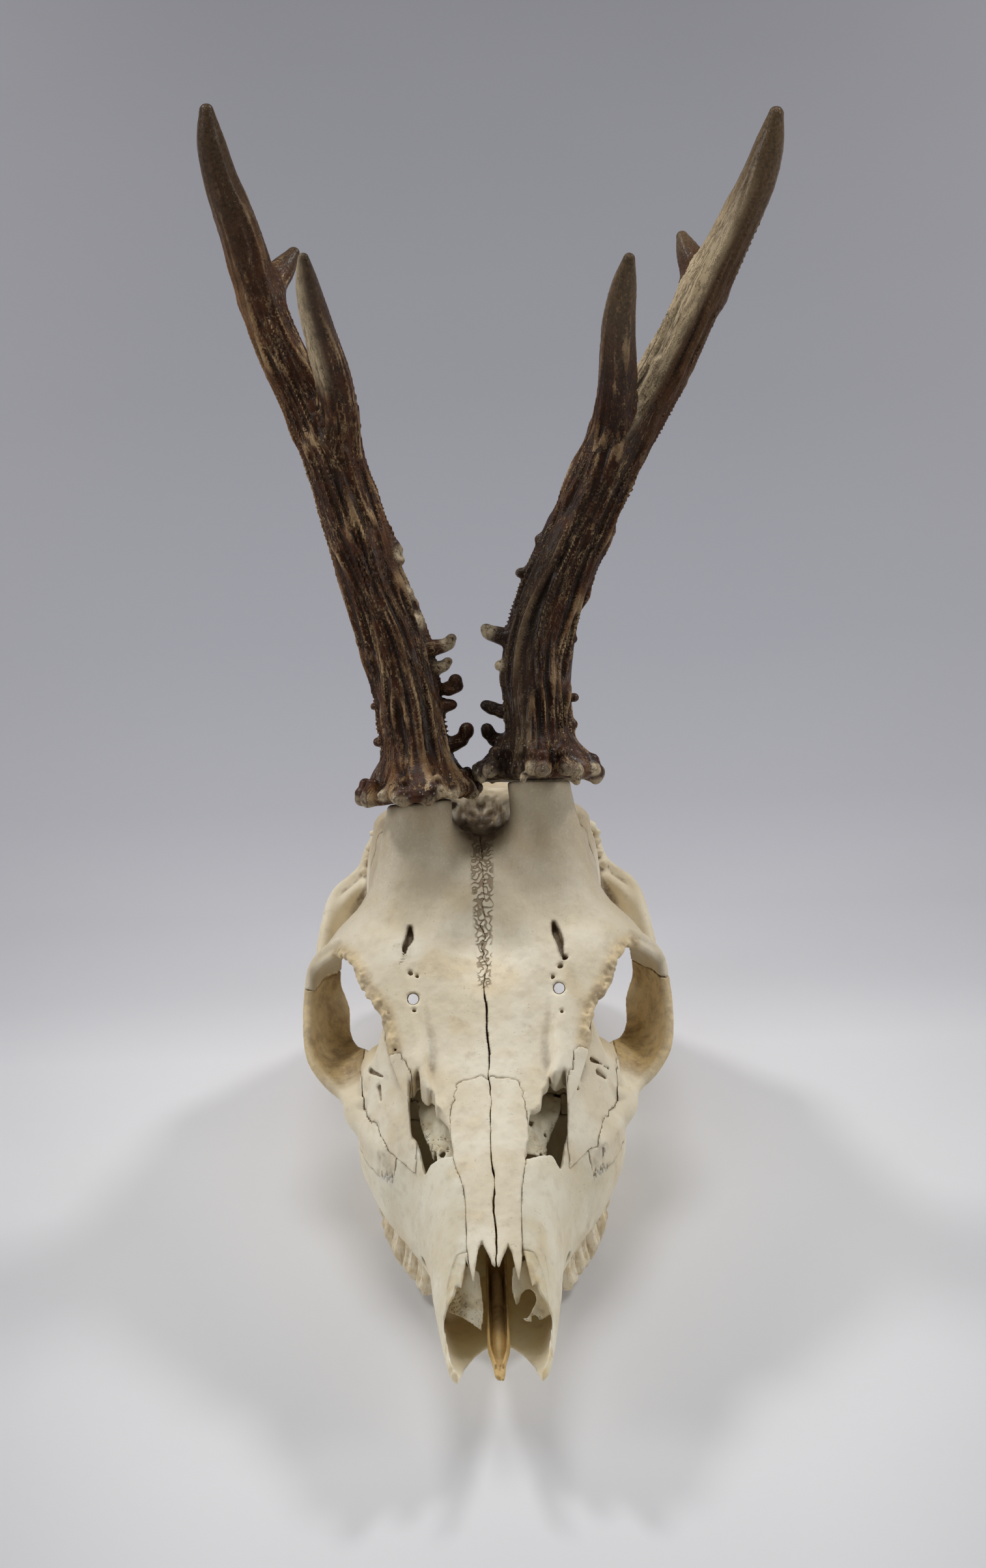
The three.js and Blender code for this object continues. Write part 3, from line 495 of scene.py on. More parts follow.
def skull_loft():
    """Body of the skull with its nasal cavity, as two coarse fields."""
    rough = Field((-2, -98, -3), (48, 101, 102), 1.0)
    x, y, z = rough.axes
    body = loft_distance(half_rings(y, 0.0, 0.0), x, z)
    ends = np.maximum(NOSE_Y - y, y - BACK_Y)[None, :, None]
    body = smooth_max(body, ends, 3.0)
    inset = NASAL_WALL - 0.55 * (1 - ramp(y, -76, -62)) + 4.5 * ramp(y, -17, -9)
    lift = 9.0 * (1 - ramp(y, -76.5, -74.5))
    cavity = loft_distance(half_rings(np.maximum(y, -94), inset, lift), x, z)
    cavity = np.maximum(cavity, (y + 9)[None, :, None])
    solid, hollow = Field((-2, -98, -3), (48, 101, 102), 1.0), rough
    solid.value, hollow.value = body.astype(np.float32), cavity.astype(np.float32)
    return solid, hollow


ORBIT_BAND = [
    ((36, 27, 64.5), (34, 27, 62)), ((40.5, 29.5, 59.5), (35.6, 31, 60)), ((43, 30, 55), (36.5, 35, 54)),
    ((44.2, 27, 49.5), (36.9, 37.5, 46)), ((44.6, 20.5, 44), (35.2, 35.5, 40.5)),
    ((43.8, 14.5, 39), (35, 29.5, 37.2)), ((41, 9.8, 36), (33.4, 23, 37)),
    ((36.5, 4.5, 34.2), (30, 15, 39.6)),
    ((33, -2, 35), (27, 7, 40.4)), ((29.5, -6, 39), (25.5, 1, 43)),
]
ORBIT_ROOF = [
    [(13.6, -27, 48, 1.2), (16.6, -26, 45.6, 0.9)], [(15.6, -20.5, 50.6, 1.5), (19.8, -20, 48, 0.9)],
    [(17, -14.5, 53.2, 1.6), (22, -13.5, 50.9, 1.0)],
    [(17, -9, 55.4, 1.6), (23.7, -8.5, 53.9, 1.0)], [(18, -3, 58.3, 1.6), (25, -1, 58.3, 0.9)],
    [(19, 5, 62.3, 1.7), (29.6, 7, 61.7, 0.8)], [(21, 14, 66, 1.9), (33.4, 17.5, 65, 0.8)],
    [(22, 21, 69, 2), (30, 23, 67.3, 1.5), (36.6, 24.3, 62.9, 1.0)],
    [(23, 28, 71, 2.2), (34, 29, 65.2, 1.6), (42.2, 29.4, 56.2, 1.1)],
    [(24, 34, 72, 2.2), (34, 34, 64.6, 1.6), (42.4, 31.4, 54.8, 1.1)],
    [(24, 40, 72.6, 2.2), (30.5, 39.6, 65.2, 1.3), (38.2, 35.8, 58.8, 1.0), (42, 32.6, 55, 1.0)],
]
ARCH = [
    (41.6, 25, 38.4, 3.1, 1.5), (41.2, 36, 39.8, 3.2, 1.4), (40.8, 48, 42.3, 3.1, 1.4),
    (39.8, 58, 44.5, 3, 1.6), (37.4, 67, 47.8, 2.6, 2), (31, 74, 50.6, 2.8, 2.2), (25, 76, 52, 3.2, 2.4),
]
SHELF = [
    [(42, 50, 45.8, 1.1), (39.6, 53, 45.2, 1.1)],
    [(41.2, 57, 47.9, 1.2), (35, 59, 46.4, 1.2), (27, 60, 51, 1.4)],
    [(39.8, 64.5, 49.6, 1.3), (33, 66, 47.6, 1.2), (26, 67, 53.6, 1.5)],
    [(38.4, 71.5, 51, 1.3), (32, 73, 50, 1.3), (25, 73, 56, 1.6)],
    [(36.6, 76, 51.6, 1.2), (31.5, 77, 53.2, 1.2), (25, 77.6, 58, 1.4)],
]
SHELF_RIM = [
    (41.6, 49, 45.4, 1.2), (40.2, 60, 49.2, 1.4), (38.6, 70.5, 51.4, 1.5), (36.8, 76, 52, 1.4),
    (31, 79, 55.5, 1.6), (28.5, 81, 60, 1.4),
]
NECK_CREST = [(29, 80, 50, 1.8), (28, 82, 60, 1.9), (20, 84.5, 70, 2.2), (8, 85.3, 73.6, 2.4),
              (-3, 85.3, 74, 2.4)]
KNOBS = [
    (28.8, 78.6, 62.4, 1.5), (29.6, 77.2, 59.8, 1.2), (30.2, 76.4, 57, 1.7), (30.5, 75.6, 54.6, 1.5),
    (27.6, 79.5, 66.2, 1.5), (26.2, 80.4, 68.6, 1.2), (29.4, 79, 64.6, 1.0),
]
PEDICLE = [(18.2, 34, 67, 10.4), (17, 41.2, 76.4, 9.5), (15.8, 47, 84.6, 8.5), (14.8, 51, 92, 7.9),
           (14.6, 54.6, 100, 7.9)]
# Foot of each antler and the next point of its beam.
FOOT = {1: ((14.6, 51.6, 94.8), (14.8, 58.5, 106.5)), -1: ((-15.1, 51, 90.4), (-16.4, 59, 106))}

FISSURE = [(-3, -99), (10.2, -99), (9.7, -89), (8.1, -82), (5.8, -76.5), (3.1, -73), (-3, -72.4)]
VACUITY = {
    -1: [(19.5, -16.9), (18.6, -18.4), (17.9, -16.8), (17.1, -16.4), (16.7, -20.2), (15.7, -21.8),
         (15.1, -22.6), (14.4, -21.8), (13.6, -22.9), (13.2, -26.5), (12.4, -26.9), (11.6, -28.3),
         (10.5, -30.4), (10.1, -32), (9.4, -39.6), (13, -37.9), (14.8, -37), (17.2, -37.2), (18.3, -36.5),
         (18.9, -31.5), (19.4, -25.5),
         (19.7, -19.9)],
    1: [(18.4, -16.6), (16.4, -18.8), (15.3, -19.6), (14.5, -18.1), (13.8, -20.7), (12.7, -21.7),
        (12.1, -25.9), (10.8, -27.4), (9.4, -27.9), (9.1, -30.5), (8.8, -36), (8.1, -41.8), (12.2, -38.4),
        (14.3, -36.4),
        (15.8, -37.1), (17.8, -35.8), (18.3, -27.3), (18.6, -20)],
}
# Opening of the nose in plan, beside and before the nasal tips.
APERTURE = [
    (-3, -60), (6.5, -60), (6.9, -66.5), (7.1, -69), (8.4, -74.4), (9.4, -72.6), (10.2, -75), (10.5, -80),
    (10.2, -85), (9.2, -90), (7.6, -96), (7.6, -100), (-3, -100),
]
NASAL = {
    -1: [(-3, -18.6), (1.6, -18.9), (4, -19.4), (6.8, -18.9), (7.9, -20.6), (9.3, -24.6), (10, -29),
         (9.9, -33), (9.4, -40), (7.2, -49), (6.7, -55), (6.7, -64), (6.5, -69), (5.5, -75), (4.9, -71),
         (4, -66), (3.1, -64.2), (2.3, -66.5),
         (0.9, -70.6), (0.1, -71.2), (-3, -71.2)],
    1: [(-3, -18.3), (2, -18.7), (4.6, -19.1), (6.5, -19.9), (8, -22.2), (8.4, -26.5), (8.9, -31), (8.8, -36),
        (7.9, -42.6), (6.7, -50), (6.4, -55), (6.4, -63), (6.2, -69), (5.3, -74.8), (4.6, -71.4),
        (3.8, -67.2), (3.0, -65.4),
        (2.2, -67.6), (0.8, -71.2), (-0.2, -71.6), (-3, -71.6)],
}
LACRIMAL = [
    (18.7, -37), (20.3, -38), (22.2, -33.5), (24.4, -27.5), (27, -18.5), (30.6, -9), (31.5, 2), (31.5, 8),
    (30.5, 20), (18, 20), (16, 0), (15, -14), (17.5, -22),
]
FRONTAL = [
    (-3, -30), (9, -34), (12, -32), (18.8, -24), (18.6, -20), (19.8, -15), (21.6, -10.6), (24.6, -9.6),
    (29, -4), (34, 4), (50, 9), (50, 41), (38, 43.5), (31, 50), (25, 53.5), (16, 55.5), (8, 53), (-3, 50.5),
]
ZYGOMATIC = [
    (22.4, -24.6), (24, -27.6), (36, -12), (50, -10), (50, 46), (30, 46), (30, 22), (29.5, 9), (30.5, -4),
    (28, -14), (25.4, -20.5),
]
MAXILLA = [(-3, -97), (40, -97), (40, 7.7), (31, 16.5), (17, 16.5), (14, 7.7), (-3, 7.7)]
PREMAXILLA_SIDE = [(-100, 0), (-92.5, 0), (-89.5, 13.5), (-81, 18.4), (-71, 26), (-66, 31.5), (-68.5, 45),
                   (-100, 45)]


def add_orbit(f):
    """Brow, the thin band round the eye, the cheek arch and the shelf behind it."""
    f.blob(ORBIT_CENTRE, ORBIT_RADII, 2.5, carve=True)
    f.blob((0, 27, 17), (6.2, 20, 9), 1.5, carve=True)
    f.blob((0, 9, 97), (19, 25, 33), 4, carve=True)
    f.blob((36, 52, 36), (10.5, 26, 12), 5, carve=True)
    f.blob((25.5, 3, 40), (6.5, 10, 7.5), 2)
    f.blob((33, 1.5, 33), (3.2, 9, 3.6), 3)
    f.tube([(32, -2, 32.6, 2.2), (29.4, -12, 33, 1.8), (26, -22, 33.5, 1.2)], 4)
    f.sheet(ORBIT_ROOF, 3)
    rows = []
    for rim, deep in ORBIT_BAND:
        middle = np.array(rim) * 0.5 + np.array(deep) * 0.5 + np.array((0.7, 0, -0.5))
        rows.append([(*rim, 1.15), (*middle, 0.85), (*deep, 0.55)])
    f.sheet(rows, 1.6)
    f.tube([(*rim, 1.25) for rim, _ in ORBIT_BAND], 1.2)
    f.sheet([[(x + 0.3, y, z + h, t * 0.8), (x, y, z, t), (x - 0.5, y, z - h, t * 0.7)] for x, y, z, h,
             t in ARCH], 1.5)
    f.sheet(SHELF, 2)
    f.tube(SHELF_RIM, 1.2)


def add_back(f, side):
    """Crests, pedicle with the hollow beside it, knobs, ear region and neck joint."""
    f.tube([(24, 50, 79, 1.4), (25.4, 60, 78.4, 1.1), (24.6, 70, 74.6, 1), (21.8, 80, 69, 1)], 4)
    f.tube(NECK_CREST, 2)
    f.blob((0, 43, 93.5), (9.5, 15, 13.8), 4, carve=True)
    f.tube(PEDICLE, 4)
    f.blob((0, 55, 88), (7.2, 9.5, 8.4), 2.4, carve=True)
    cut, x, y, z = f.window((-2, 42, 74), (10, 70, 92))
    depth = np.sqrt(x * x + ((y - 57) / 1.5) ** 2 + (z - 83) ** 2)
    lumps = wave(x / 2.3, y / 2.3, z / 2.3, 91, 1.1) + wave(x, y, z, 92, 1.3)
    f.value[cut] += (lumps * (1 - ramp(depth, 5.5, 9))).astype(np.float32)
    for x, y, z, r in KNOBS:
        r *= 1 if side > 0 else 0.72
        f.blob((x, y, z), (r * 1.2, r, r * 0.9), 0.5)
    f.blob((14.5, 63, 20), (6.8, 9, 8), 1.5)
    f.blob((11.5, 91, 28), (7.2, 7, 9.2), 2)
    f.tube([(22, 85, 34, 4), (22.6, 83.5, 26, 3), (22.2, 81.5, 16, 2.4), (21, 79.6, 9, 1.7)], 2)
    f.tube([(24, 68, 36, 4), (29, 69, 39, 3.2), (32, 70, 41, 2.8)], 1.5)
    f.tube([(35, 70.6, 42.4, 1.9), (29, 69, 39, 1.5), (26, 68.5, 37.5, 1.2)], 0.5, carve=True)
    f.blob((0, 95, 40), (8.6, 14, 9), 1, carve=True)
    f.tube([(6.5, 66, 17.5, 1.0), (7.8, 72, 19, 1.3)], 0.6, carve=True)
    for x in (6.8, 7.6):
        f.sheet([[(x, 24, 25, 0.8), (x, 24, 15, 0.6)], [(x + 0.7, 34, 22, 0.7), (x + 0.7, 35, 11, 0.5)],
                 [(x + 1, 43, 25, 0.7), (x + 1.2, 43, 17, 0.5)]], 1)


def cut_openings(f, side, hollow):
    """Flat top of the pedicle, nasal cavity, gaps around the nasals, and the slot in the palate."""
    foot, beyond = (np.array(p, float) for p in FOOT[side])
    along = (beyond - foot) / np.linalg.norm(beyond - foot)
    x, y, z = f.mesh()
    top = (x * side - foot[0]) * along[0] + (y - foot[1]) * along[1] + (z - foot[2]) * along[2]
    f.value = smooth_max(f.value, np.where(z > 84, top, -9).astype(np.float32), 0.8)
    f.value = smooth_max(f.value, -hollow.at(f.axes), 0.6)
    gaps, front, nasal, slot = (outline_distance(x[:, :, 0], y[:, :, 0], outline)[:, :, None]
                                for outline in (VACUITY[side], APERTURE, NASAL[side], FISSURE))
    gaps = np.maximum(gaps, 34 + 6.2 * ramp(x, 15, 18.4) - z)
    front = np.maximum(np.maximum(front, 0.2 - nasal), 20.5 - z + np.where(y < -82, (y + 82) * 0.55, 0))
    for hole in (gaps, front, np.maximum(slot, z - 24)):
        f.value = smooth_max(f.value, -hole.astype(np.float32), 0.35)
    bore_forehead(f, side, 1.6)


def bore_forehead(f, side, far_radius):
    """The hole through the brow, which widens to so much behind it."""
    near, far = FORAMINA[side]
    f.tube([(near[0] * side, *near[1:], 1.35), (far[0] * side, *far[1:], far_radius)], 0.4, carve=True,
           spacing=8)


def half_skull(side, solid, hollow):
    """The whole upper skull on one side, before it is parted into bones."""
    f = Field((-2, -97, -2), (47.5, 100, 101), SKULL_STEP * COARSE)
    f.value = solid.at(f.axes)
    add_orbit(f)
    add_back(f, side)
    cut_openings(f, side, hollow)
    return f


# ---------------------------------------------------------------- parting along the sutures
def crack_line(y):
    return wave(y / 6, 0, 0, 3, 0.85) + wave(y / 1.6, 0, 0, 4, 0.4)


def midline(y, x, z):
    """Where the two sides meet: nearly straight on the nose, a worm-like suture on the forehead."""
    zip_up = ramp(y, 4, 8) * (1 - ramp(y, 47, 50))
    return crack_line(y) + zip_up * wave(x / 2.4, y / 1.3, z * 0, 6, 2.2) - 0.35 * ramp(y, -20, 0)


def region(name, side, axes):
    """Distance to one bone's share of space, negative inside."""
    x, y, z = axes[0][:, None], axes[1][None, :], axes[2][None, None, :]
    sx = x * side
    bend_x = wave(sx / 1.4, y / 1.4, 0, 21, 0.9) + wave(sx / 3.5, y / 3.5, 0, 22, 0.8)
    bend_y = wave(sx / 1.4, y / 1.4, 0, 23, 1.1) + wave(sx / 3.5, y / 3.5, 0, 24, 0.8)

    def plan(outline, bend):
        return outline_distance(x + bend_x * bend, y + bend_y * bend, outline)[:, :, None]

    if name == "nasal":
        return np.maximum(plan(NASAL[side], np.where(y < -45, 0.15, 0.5) + 1.1 * ramp(y, -28, -22)), 26 - z)
    if name == "lacrimal":
        low = 34.5 + wave(sx / 3, y / 3, 0, 31, 1.2)[:, :, None]
        return np.maximum(np.maximum(plan(LACRIMAL, 0.7), low - z), z - 60)
    if name == "frontal":
        ledge = 50.3 + 0.6 * (y + 8.5) - 9.5 * ramp(y, 5, 13)
        low = np.where(x > 19.5, ledge, 40.0) * (y < 9) + 51.5 * (y >= 9)
        low = np.where((x <= 19.5) & (y > 2), np.minimum(51.5, 40 + 11.5 * ramp(y, 2, 8)), low)
        low = low + wave(sx / 4, y / 4, 0, 32, 2.2) + wave(sx / 1.3, y / 1.3, 0, 33, 1.2)
        return np.maximum(plan(FRONTAL, 1), low[:, :, None] - z)
    if name == "zygomatic":
        high = 51.2 + wave(sx / 1.2, y / 1.2, 0, 34, 0.9)[:, :, None]
        low = 27 + wave(sx / 2, y / 2, 0, 35, 1.0)[:, :, None]
        return np.maximum(np.maximum(plan(ZYGOMATIC, 0.6), low - z), z - high)
    if name == "premaxilla":
        ys, zs = axes[1][:, None], axes[2][None, :]
        jag = wave(ys / 2.5, zs / 2.5, 0, 36, 0.7)
        flat = outline_distance(ys + jag, zs + jag, PREMAXILLA_SIDE)[None]
    else:
        flat = plan(MAXILLA, 0)
    return np.broadcast_to(flat, [len(a) for a in axes])


ORDER = ["nasal", "frontal", "lacrimal", "zygomatic", "premaxilla", "maxilla"]
# Corners of the box that holds each bone's share, and its grid step.
BOXES = {
    "nasal": ((-1.2, -77, 25), (12, -15, 58), 0.3),
    "lacrimal": ((17, -40, 32), (36, 22, 62), 0.34),
    "frontal": ((-2, -35, 38), (46.5, 60, 100), 0.375),
    "zygomatic": ((19, -39, 25), (47.3, 48, 53), 0.36),
    "premaxilla": ((2, -97, 2), (16, -57, 38), 0.28),
    "maxilla": ((-1, -94, -1), (36, 18, 54), 0.42),
}


def cut_bone(name, side, skull):
    low, high, step = BOXES[name]
    f = Field(low, high, step * COARSE)
    f.value = skull.at(f.axes)
    carve_details(f, side)
    if name in ("frontal", "lacrimal"):
        roughen_ledge(f, side)
    f.whole = f.value.copy()
    share = region(name, side, f.axes) + SEAM
    for other in ORDER[:ORDER.index(name)]:
        share = np.maximum(share, SEAM - region(other, side, f.axes))
    f.share = share.astype(np.float32)
    f.keep(share)
    if name in ("nasal", "frontal", "maxilla"):
        x, y, z = f.mesh()
        line = midline(y, x * side, z) if name == "frontal" else crack_line(y)
        gape = np.maximum(0.03, 0.11 + 0.4 * (noise(y / 3.2, 0, 0, 9) - 0.45))
        half = 0.5 * SEAM + (gape * (1 - ramp(y, 0, 7)) if name != "maxilla" else 0)
        f.keep(half - (x - side * line))
    return f


def cut_braincase(halves):
    f = Field((-43.5, 7, -1), (43.5, 100, 87), BRAINCASE_STEP * COARSE)
    whole, shares = [], []
    for side in (-1, 1):
        chosen = f.axes[0] < 0 if side < 0 else f.axes[0] >= 0
        axes = (np.abs(f.axes[0][chosen]), f.axes[1], f.axes[2])
        whole.append(halves[side].at(axes))
        share = np.full(whole[-1].shape, -9, np.float32)
        for other in ORDER:
            share = np.maximum(share, SEAM - region(other, side, axes))
        shares.append(share.astype(np.float32))
    f.value, f.share = np.concatenate(whole), np.concatenate(shares)
    f.whole = f.value.copy()
    f.keep(f.share)
    f.keep(8 - f.mesh()[1])
    return f


# ---------------------------------------------------------------- teeth, vomer and thin inner bones
# y of the crown centre, length, width; then the centre line of the row as y and x.
TEETH = [(-37.6, 7.6, 6.6), (-29.6, 8.2, 7.8), (-21.2, 8.2, 8.8), (-11.6, 10.4, 9.8), (-0.8, 10.8, 10.2),
         (9.6, 10, 9.6)]
TOOTH_ROW = [(-46, 12.5), (-32, 16.8), (-22, 19.7), (-12, 21.6), (0, 22.4), (16, 22)]
# y, height, half width and half height of the trough that holds the septum.
VOMER = [(-86.4, 13, 0.9, 0.9), (-83.4, 12.8, 1.5, 1.5), (-80, 12.9, 2.1, 1.9), (-74.5, 13.6, 2.3, 2.1),
         (-70, 14.9, 2.3, 2.5), (-58, 16, 2.2, 3), (-44, 18.2, 2, 3.6), (-30, 20.4, 1.8, 4.4)]
# y, scale, and x and z of the axis of the rolled turbinate.
SCROLL = [(-61, 0.8, 8, 25), (-59, 0.84, 8.2, 25.6), (-56, 0.92, 8.5, 26.4), (-48, 1.02, 9.4, 28.6),
          (-40, 1.08, 10.6, 30.4)]
# Plates in the nose for each side: rows of x, y, z, half thickness.
TURBINATE_LIP = {
    -1: [[(11.6, -64, 28.6, 0.3), (11.8, -68, 24, 0.28), (11.4, -72, 19.6, 0.25)],
         [(8.8, -66, 29, 0.3), (8.6, -71, 24, 0.28), (8.4, -74, 19.4, 0.25)],
         [(6.4, -67, 28.5, 0.3), (6.2, -72.5, 23, 0.28), (6, -75.5, 18.4, 0.22)],
         [(4.3, -67, 27, 0.3), (3.6, -73, 20.5, 0.26), (3.9, -76, 16.8, 0.22)]],
    1: [[(11.8, -64, 29, 0.3), (12.4, -69, 25, 0.3), (12.4, -74, 19.5, 0.28)],
        [(9, -65, 29.5, 0.3), (9, -68.5, 25.4, 0.3), (9.4, -75, 18.4, 0.26)],
        [(6.4, -66, 29, 0.3), (6.2, -69.6, 25.4, 0.3), (6.6, -75, 18.6, 0.26)],
        [(4.2, -67, 28, 0.3), (3.8, -70.6, 24.6, 0.26), (4.6, -73, 21.4, 0.24)]],
}
ETHMOID = {
    -1: ([[(9, -16, 48, 0.3), (13, -16, 47.4, 0.3), (17.6, -16, 45.4, 0.3)],
          [(8.8, -23, 45.6, 0.3), (12.6, -23, 45.2, 0.3), (16.8, -23, 42.6, 0.3)],
          [(8.6, -29, 42.8, 0.3), (12, -29, 42.4, 0.28), (14.6, -29.4, 39, 0.25)],
          [(8.4, -34, 40.4, 0.3), (11, -34, 39.8, 0.25), (13.6, -35, 36.6, 0.22)]],
         [[(8.6, -35, 38.6, 0.3), (10.8, -36.4, 38, 0.3), (12.8, -37.4, 35.2, 0.3)],
          [(8.2, -40, 37.2, 0.3), (10.4, -41, 36, 0.3), (12.2, -42, 33, 0.3)]]),
    1: ([[(9, -15, 46.6, 0.3), (12.5, -15, 46, 0.3), (17, -15, 44.6, 0.3)],
         [(8.6, -22, 44.8, 0.3), (12.4, -21, 44.2, 0.3), (16.4, -20, 43.4, 0.28)],
         [(8.4, -28, 42.8, 0.3), (11.4, -27.4, 42, 0.28), (14, -25.6, 40.4, 0.25)],
         [(8, -32.6, 40.4, 0.3), (10.6, -32, 39.4, 0.25), (12.6, -31, 37.4, 0.22)]],
        [[(8, -34, 38.4, 0.3), (10.8, -34, 38, 0.3), (13.6, -34.4, 35.8, 0.3)],
         [(7.4, -41, 37, 0.3), (10, -41, 36.2, 0.3), (12.4, -41, 33.6, 0.3)]]),
}
# How far the ethmoid plates are let down from where they are drawn.
SCROLL_DROP = 1.9


def teeth_field(side):
    f = Field((9.5, -45.5, -0.6), (32, 17, 14.5), TOOTH_STEP * COARSE)
    for tooth, (cy, length, width) in enumerate(TEETH):
        for lobe in (0, 1):
            y0 = cy + (lobe - 0.5) * length / 2 * 0.78
            x0, ahead = through(TOOTH_ROW, [y0, y0 + 1])[:, 0]
            ahead -= x0
            a, b = length / 2 * 0.51, width * 0.5
            if tooth < 2:
                b *= 0.92 + 0.12 * lobe
            cut, gx, gy, gz = f.window((x0 - b - 2, y0 - a - 2, -1), (x0 + b + 2, y0 + a + 2, 15))
            v = (gx - x0) - (gy - y0) * ahead
            u = (gy - y0) + (gx - x0) * ahead
            waist = 1.04 - 0.10 * ramp(gz, 6, 11) - 0.20 * (1 - ramp(gz, 0, 5))
            rib = 0.55 * np.exp(-((u / 1.3) ** 2)) * (v > 0) + 0.5 * np.exp(-(((gz - 5.5) / 1.8) ** 2))
            plan = ((np.abs(u) / (a * waist)) ** 2.2 + (np.abs(v) / (b * waist + rib)) ** 2.2) ** (1 / 2.2)
            slope = 0.15 + 3.4 * ramp(-cy, 4, 40) + 1.1 * ramp(-v / b, -0.6, 1.0) + 1.7 * (np.abs(u) / a) ** 2
            d = smooth_max((plan - 1) * min(a, b), slope - gz, 0.7)
            ring = np.sqrt((u / (a * 0.72)) ** 2 + ((v - 0.2 * b + 0.1) / (b * 0.52)) ** 2)
            ring = np.abs(ring - 1) * a * 0.6
            dip = np.maximum(np.maximum(ring - 0.34, gz - slope - 1.3), v - b * 0.34)
            d = np.maximum(smooth_max(d, -dip, 0.25), gz - 12.5)
            f.mix(cut, d.astype(np.float32), 2.4 if lobe else 0.15)
    return f


def vomer_field():
    f = Field((-4, -91.5, 7), (4, -27, 28), VOMER_STEP * COARSE)
    f.sheet([[(-wide, y, z + tall, 0.28), (-wide, y, z - tall * 0.2, 0.4),
              (-wide * 0.5, y, z - tall * 0.9, 0.5),
              (wide * 0.5, y, z - tall * 0.9, 0.5), (wide, y, z - tall * 0.2, 0.4), (wide, y, z + tall, 0.28)]
             for y, z, wide, tall in VOMER], 0.3, spacing=0.3)
    f.tube([(-0.8, -82, 12.6, 0.7), (-0.8, -86, 12.4, 0.6), (-0.75, -88.6, 12.1, 0.4)], 0.3)
    f.tube([(0.8, -82, 12.6, 0.7), (0.8, -87, 12.2, 0.6), (0.7, -89.8, 11.9, 0.4)], 0.3)
    f.tube([(0, -52, 16.4, 1.2), (0, -64, 14.8, 1.5), (0, -76, 12.9, 1.7), (0, -84, 12.2, 1.4),
            (0, -88.6, 11.8, 0.9)], 0.5)
    f.tube([(0.3, -86, 13.3, 0.3), (0.2, -89, 12.9, 0.4), (0.1, -93, 12.4, 0.5)], 0.3, carve=True)
    return f


def turbinate_field(side):
    f = Field((2.5, -79, 11), (16, -38, 37), THIN_STEP * COARSE)
    rows = []
    for y, s, cx, cz in SCROLL:
        row = []
        for n in range(15):
            t = n / 14
            angle = t * 1.3 * math.tau + 0.35
            radius = (3.9 - 2.2 * t) * s
            row.append((cx + math.cos(angle) * radius, y, cz + math.sin(angle) * radius * 1.25, 0.3))
        rows.append(row)
    f.sheet(rows, 0.2, spacing=0.36)
    f.sheet(TURBINATE_LIP[side], 0.2, spacing=0.36)
    if side > 0:
        f.blob((7.3, -71.6, 22.2), (1.7, 3, 1.9), 0.6, carve=True)
        f.blob((6.1, -73, 20.4), (1.5, 2.4, 1.5), 0.9, carve=True)
    x, y, z = f.mesh()
    torn = noise(x / 1.8, z / 1.8, y * 0 + 2, 41) * 5 + noise(x / 0.7, z / 0.7, y * 0, 42) * 1.4
    f.keep((-80.4 if side < 0 else -79.4) + torn - y)
    return f


def scroll_field(side):
    """Thin ethmoid plates seen through the gap beside the nasals."""
    f = Field((5.5, -46, 28), (22, -12, 50), THIN_STEP * COARSE)
    upper, lower = ETHMOID[side]
    f.sheet(upper, 0.2, spacing=0.36)
    f.sheet(lower, 0.2)
    x, y, z = f.mesh()
    holes = 2.4 * (0.42 - noise(x * side / 1.7, y / 1.9, z / 1.7, 44) - 0.25 * ramp(y, -34, -24))
    f.keep(-44 - y + 3 * noise(x / 1.2, z / 1.2, y * 0, 43))
    f.keep(holes)
    f.low[2] -= SCROLL_DROP
    return f


